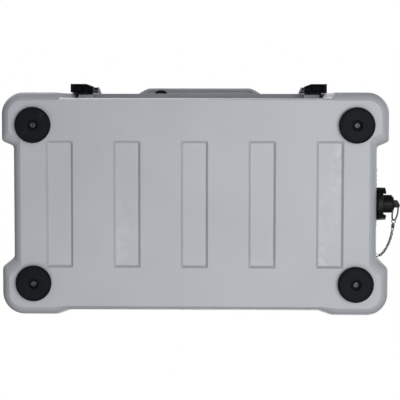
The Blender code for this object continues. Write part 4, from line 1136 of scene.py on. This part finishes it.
# ---------------------------------------------------------------- tether

CAP_FACE = PIVOTS["drain_cap_screw"].x + 0.0195
EYE_HOLE_RADIUS = 0.0013
RING_RADIUS = 0.0142
RING_WIRE = 0.00092
RING_TURNS = 1.9
RING_PITCH = 0.0020         # how far the ring's wire climbs from end to end
LOOP_RADIUS = 0.0034
LOOP_WIRE = 0.00075
SWING = math.radians(8.6)
TILT = math.radians(25)
ALONG = Vector((-math.sin(SWING), math.cos(SWING), 0))      # from the eye to the clasp
ACROSS = Vector((math.cos(SWING), math.sin(SWING), 0))
RING_UP = math.cos(TILT) * Vector((0, 0, 1)) + math.sin(TILT) * ACROSS
RING_HANG = Vector((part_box("tether_eye")[1].x - 0.0058, 0.0, DRAIN_Z)) + 0.0013 * ALONG


def make_eye():
    """Pierced lug on the cap's face, held by a rivet through it."""
    low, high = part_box("tether_eye")
    half = (high.y - low.y) / 2
    root = CAP_FACE + 0.0003
    lug = [(root, -half), (root + 0.0058, -half), (high.x, 0.0012), (high.x, half - 0.0020),
           (high.x - 0.0014, half), (root, half)]
    eye = prism("tether_eye_fine", lug, 0.005, Matrix.Translation((0, 0, DRAIN_Z)),
                BLACK_PLASTIC, 0)
    hole = [(0, 0.01), (EYE_HOLE_RADIUS, 0.01), (EYE_HOLE_RADIUS, -0.01), (0, -0.01)]
    cut(eye, lathe("eye_tool", hole, Matrix.Translation(RING_HANG), None, 40))
    soften(eye, 0.0009)
    rivet = lathe("rivet", [(0, root + 0.0006), (0.0024, root + 0.0006), (0.0024, root - 0.0048),
                            (0.0040, root - 0.0048), (0.0040, root - 0.0060), (0, root - 0.0060)],
                  along_x(0, 0, DRAIN_Z), BLACK_PLASTIC, 32)
    merge_into(eye, rivet)
    show(eye, "tether", "black_plastic", "tether_eye")
    return eye


def make_ring():
    """Split ring of nearly two turns that hangs in the eye."""
    middle = RING_HANG + RING_RADIUS * ALONG
    axis = ALONG.cross(RING_UP)
    points = []
    for step in range(151):
        angle = math.radians(200) + RING_TURNS * 2 * math.pi * step / 150
        around = ALONG * math.cos(angle) + RING_UP * math.sin(angle)
        points.append(middle + RING_RADIUS * around + RING_PITCH * (step / 150 - 0.5) * axis)
    ring = sweep("tether_ring_fine", points, RING_WIRE, DARK_REFLECTION_CHAIN_STEEL, 10)
    show(ring, "tether", "stainless", "tether_ring")
    return ring


def make_clasp():
    """Small loop on the ring with the turned barrel that holds the chain's last link."""
    middle = RING_HANG + (2 * RING_RADIUS + 0.0011) * ALONG
    side = Vector((0, 0, 1)).cross(ALONG)
    loop = sweep("tether_clasp_fine",
                 [middle + LOOP_RADIUS * (ALONG * math.cos(a) + side * math.sin(a))
                  for a in np.linspace(0, 2 * math.pi, 48, endpoint=False)],
                 LOOP_WIRE, DARK_REFLECTION_CHAIN_STEEL, 10, closed=True)
    start = middle + (LOOP_RADIUS + 0.0005) * ALONG
    profile = rounded([(0, 0.0), (0.0018, 0.0), (0.0022, 0.0008), (0.0020, 0.0014), (0.0031, 0.0022),
                       (0.0031, 0.0052), (0.0024, 0.0058), (0.0024, 0.0066), (0.0030, 0.0070),
                       (0.0026, 0.0079), (0, 0.0079)], 0.0003, 3)
    turn = ALONG.to_track_quat("Z", "Y").to_matrix().to_4x4()
    barrel = lathe("clasp_barrel", profile, Matrix.Translation(start) @ turn, DARK_REFLECTION_CHAIN_STEEL, 40, 30)
    merge_into(loop, barrel)
    show(loop, "tether", "stainless", "tether_clasp")
    return loop


# The chain's middle line from its anchor to the clasp: out from the end wall at the drain,
# along the wall and up from the drain's middle.
CHAIN_ROUTE = (
    (0.0034, 0.0897, -0.0080), (0.0060, 0.0895, -0.0082), (0.0090, 0.0881, -0.0085),
    (0.0124, 0.0850, -0.0087), (0.0160, 0.0805, -0.0084), (0.0193, 0.0752, -0.0077),
    (0.0222, 0.0696, -0.0066), (0.0246, 0.0640, -0.0052), (0.0266, 0.0585, -0.0036),
    (0.0282, 0.0532, -0.0020), (0.0293, 0.0480, -0.0006), (0.0301, 0.0433, 0.0000),
)
LINK_PITCH = 0.0038
LINK_WIRE = 0.00078
LINK_ROUND = 0.0019
LINK_TWIST = 45             # degrees of roll at the anchor, which fades towards the clasp


def smooth_route():
    """Dense points on a curve through the route's points."""
    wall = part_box("drain_gasket")[0].x - 0.0003
    knots = [Vector((wall + out, along, DRAIN_Z + up)) for out, along, up in CHAIN_ROUTE]
    padded_knots = [2 * knots[0] - knots[1]] + knots + [2 * knots[-1] - knots[-2]]
    points = []
    for index in range(1, len(padded_knots) - 2):
        a, b, c, d = padded_knots[index - 1:index + 3]
        for step in range(8):
            t = step / 8
            points.append(0.5 * ((2 * b) + (c - a) * t + (2 * a - 5 * b + 4 * c - d) * t * t
                                 + (3 * b - a - 3 * c + d) * t ** 3))
    return points + [knots[-1]]


def link_places(points, steps, count):
    """Middle and Euler angles of each link, spread evenly along the points."""
    def at(reach):
        return Vector([np.interp(reach, steps, [point[axis] for point in points])
                       for axis in range(3)])

    length = steps[-1]
    places = []
    for index in range(count):
        reach = (index + 0.5) * length / count
        ahead = at(min(reach + 5e-4, length)) - at(max(reach - 5e-4, 0))
        turn = ahead.to_track_quat("X", "Z").to_matrix()
        twist = math.radians(LINK_TWIST * (1 - 0.8 * index / count) + 90 * (index % 2))
        roll = Matrix.Rotation(twist, 3, "X")
        places.append((tuple(at(reach)), tuple((turn @ roll).to_euler())))
    return places


def make_chain(pieces):
    """Oval links from the anchor to the clasp, each turned a quarter from the one before."""
    points = smooth_route()
    steps = [0.0]
    for first, second in zip(points, points[1:]):
        steps.append(steps[-1] + (second - first).length)
    length = steps[-1]
    count = round(length / LINK_PITCH)
    half = (length / count) * 0.5 + LINK_WIRE - LINK_ROUND
    outline = [Vector((half + x, y, 0)) for x, y in arc((0, 0), LINK_ROUND, -90, 90, 12)]
    outline += [Vector((x - half, y, 0)) for x, y in arc((0, 0), LINK_ROUND, 90, 270, 12)]
    link = sweep("link_one", outline, LINK_WIRE, DARK_REFLECTION_CHAIN_STEEL, 8, closed=True)
    chain = repeat("tether_chain_fine", link, link_places(points, steps, count), DARK_REFLECTION_CHAIN_STEEL)
    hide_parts("tether_chain")
    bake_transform(chain)


# ---------------------------------------------------------------- assembly

make_chain((make_eye(), make_ring(), make_clasp()))
make_tub()
make_feet()
make_lid()
PLUG_LOW, PLUG_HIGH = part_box("tub_fill_plug")
port_plug("tub_plug_fine", "tub", 0, PLUG_HIGH.y - 0.0022, (PLUG_LOW.z + PLUG_HIGH.z) / 2,
          Matrix.Rotation(-math.pi / 2, 4, "X"), "tub_fill_plug")
for name, direction in (("left", -1), ("right", 1)):
    make_latch(name, direction)
    latch_pin(name)
    fine_plate("keeper_fine_" + name, "latch_keeper_" + name, "tub", "shell_plastic",
               SHELL_PLASTIC, 0.0008)
    make_handle(name)
make_drain()
make_cap()
FINISHES = {"shell_plastic": SHELL_PLASTIC, "foam": FOAM, "black_rubber": BLACK_RUBBER,
            "black_plastic": BLACK_PLASTIC, "stainless": STAINLESS}
for part in frame["record"]["subparts"]:
    data = frame["nodes"][part["node"]].data
    data.materials.clear()
    data.materials.append(FINISHES[part["material_slot"]])
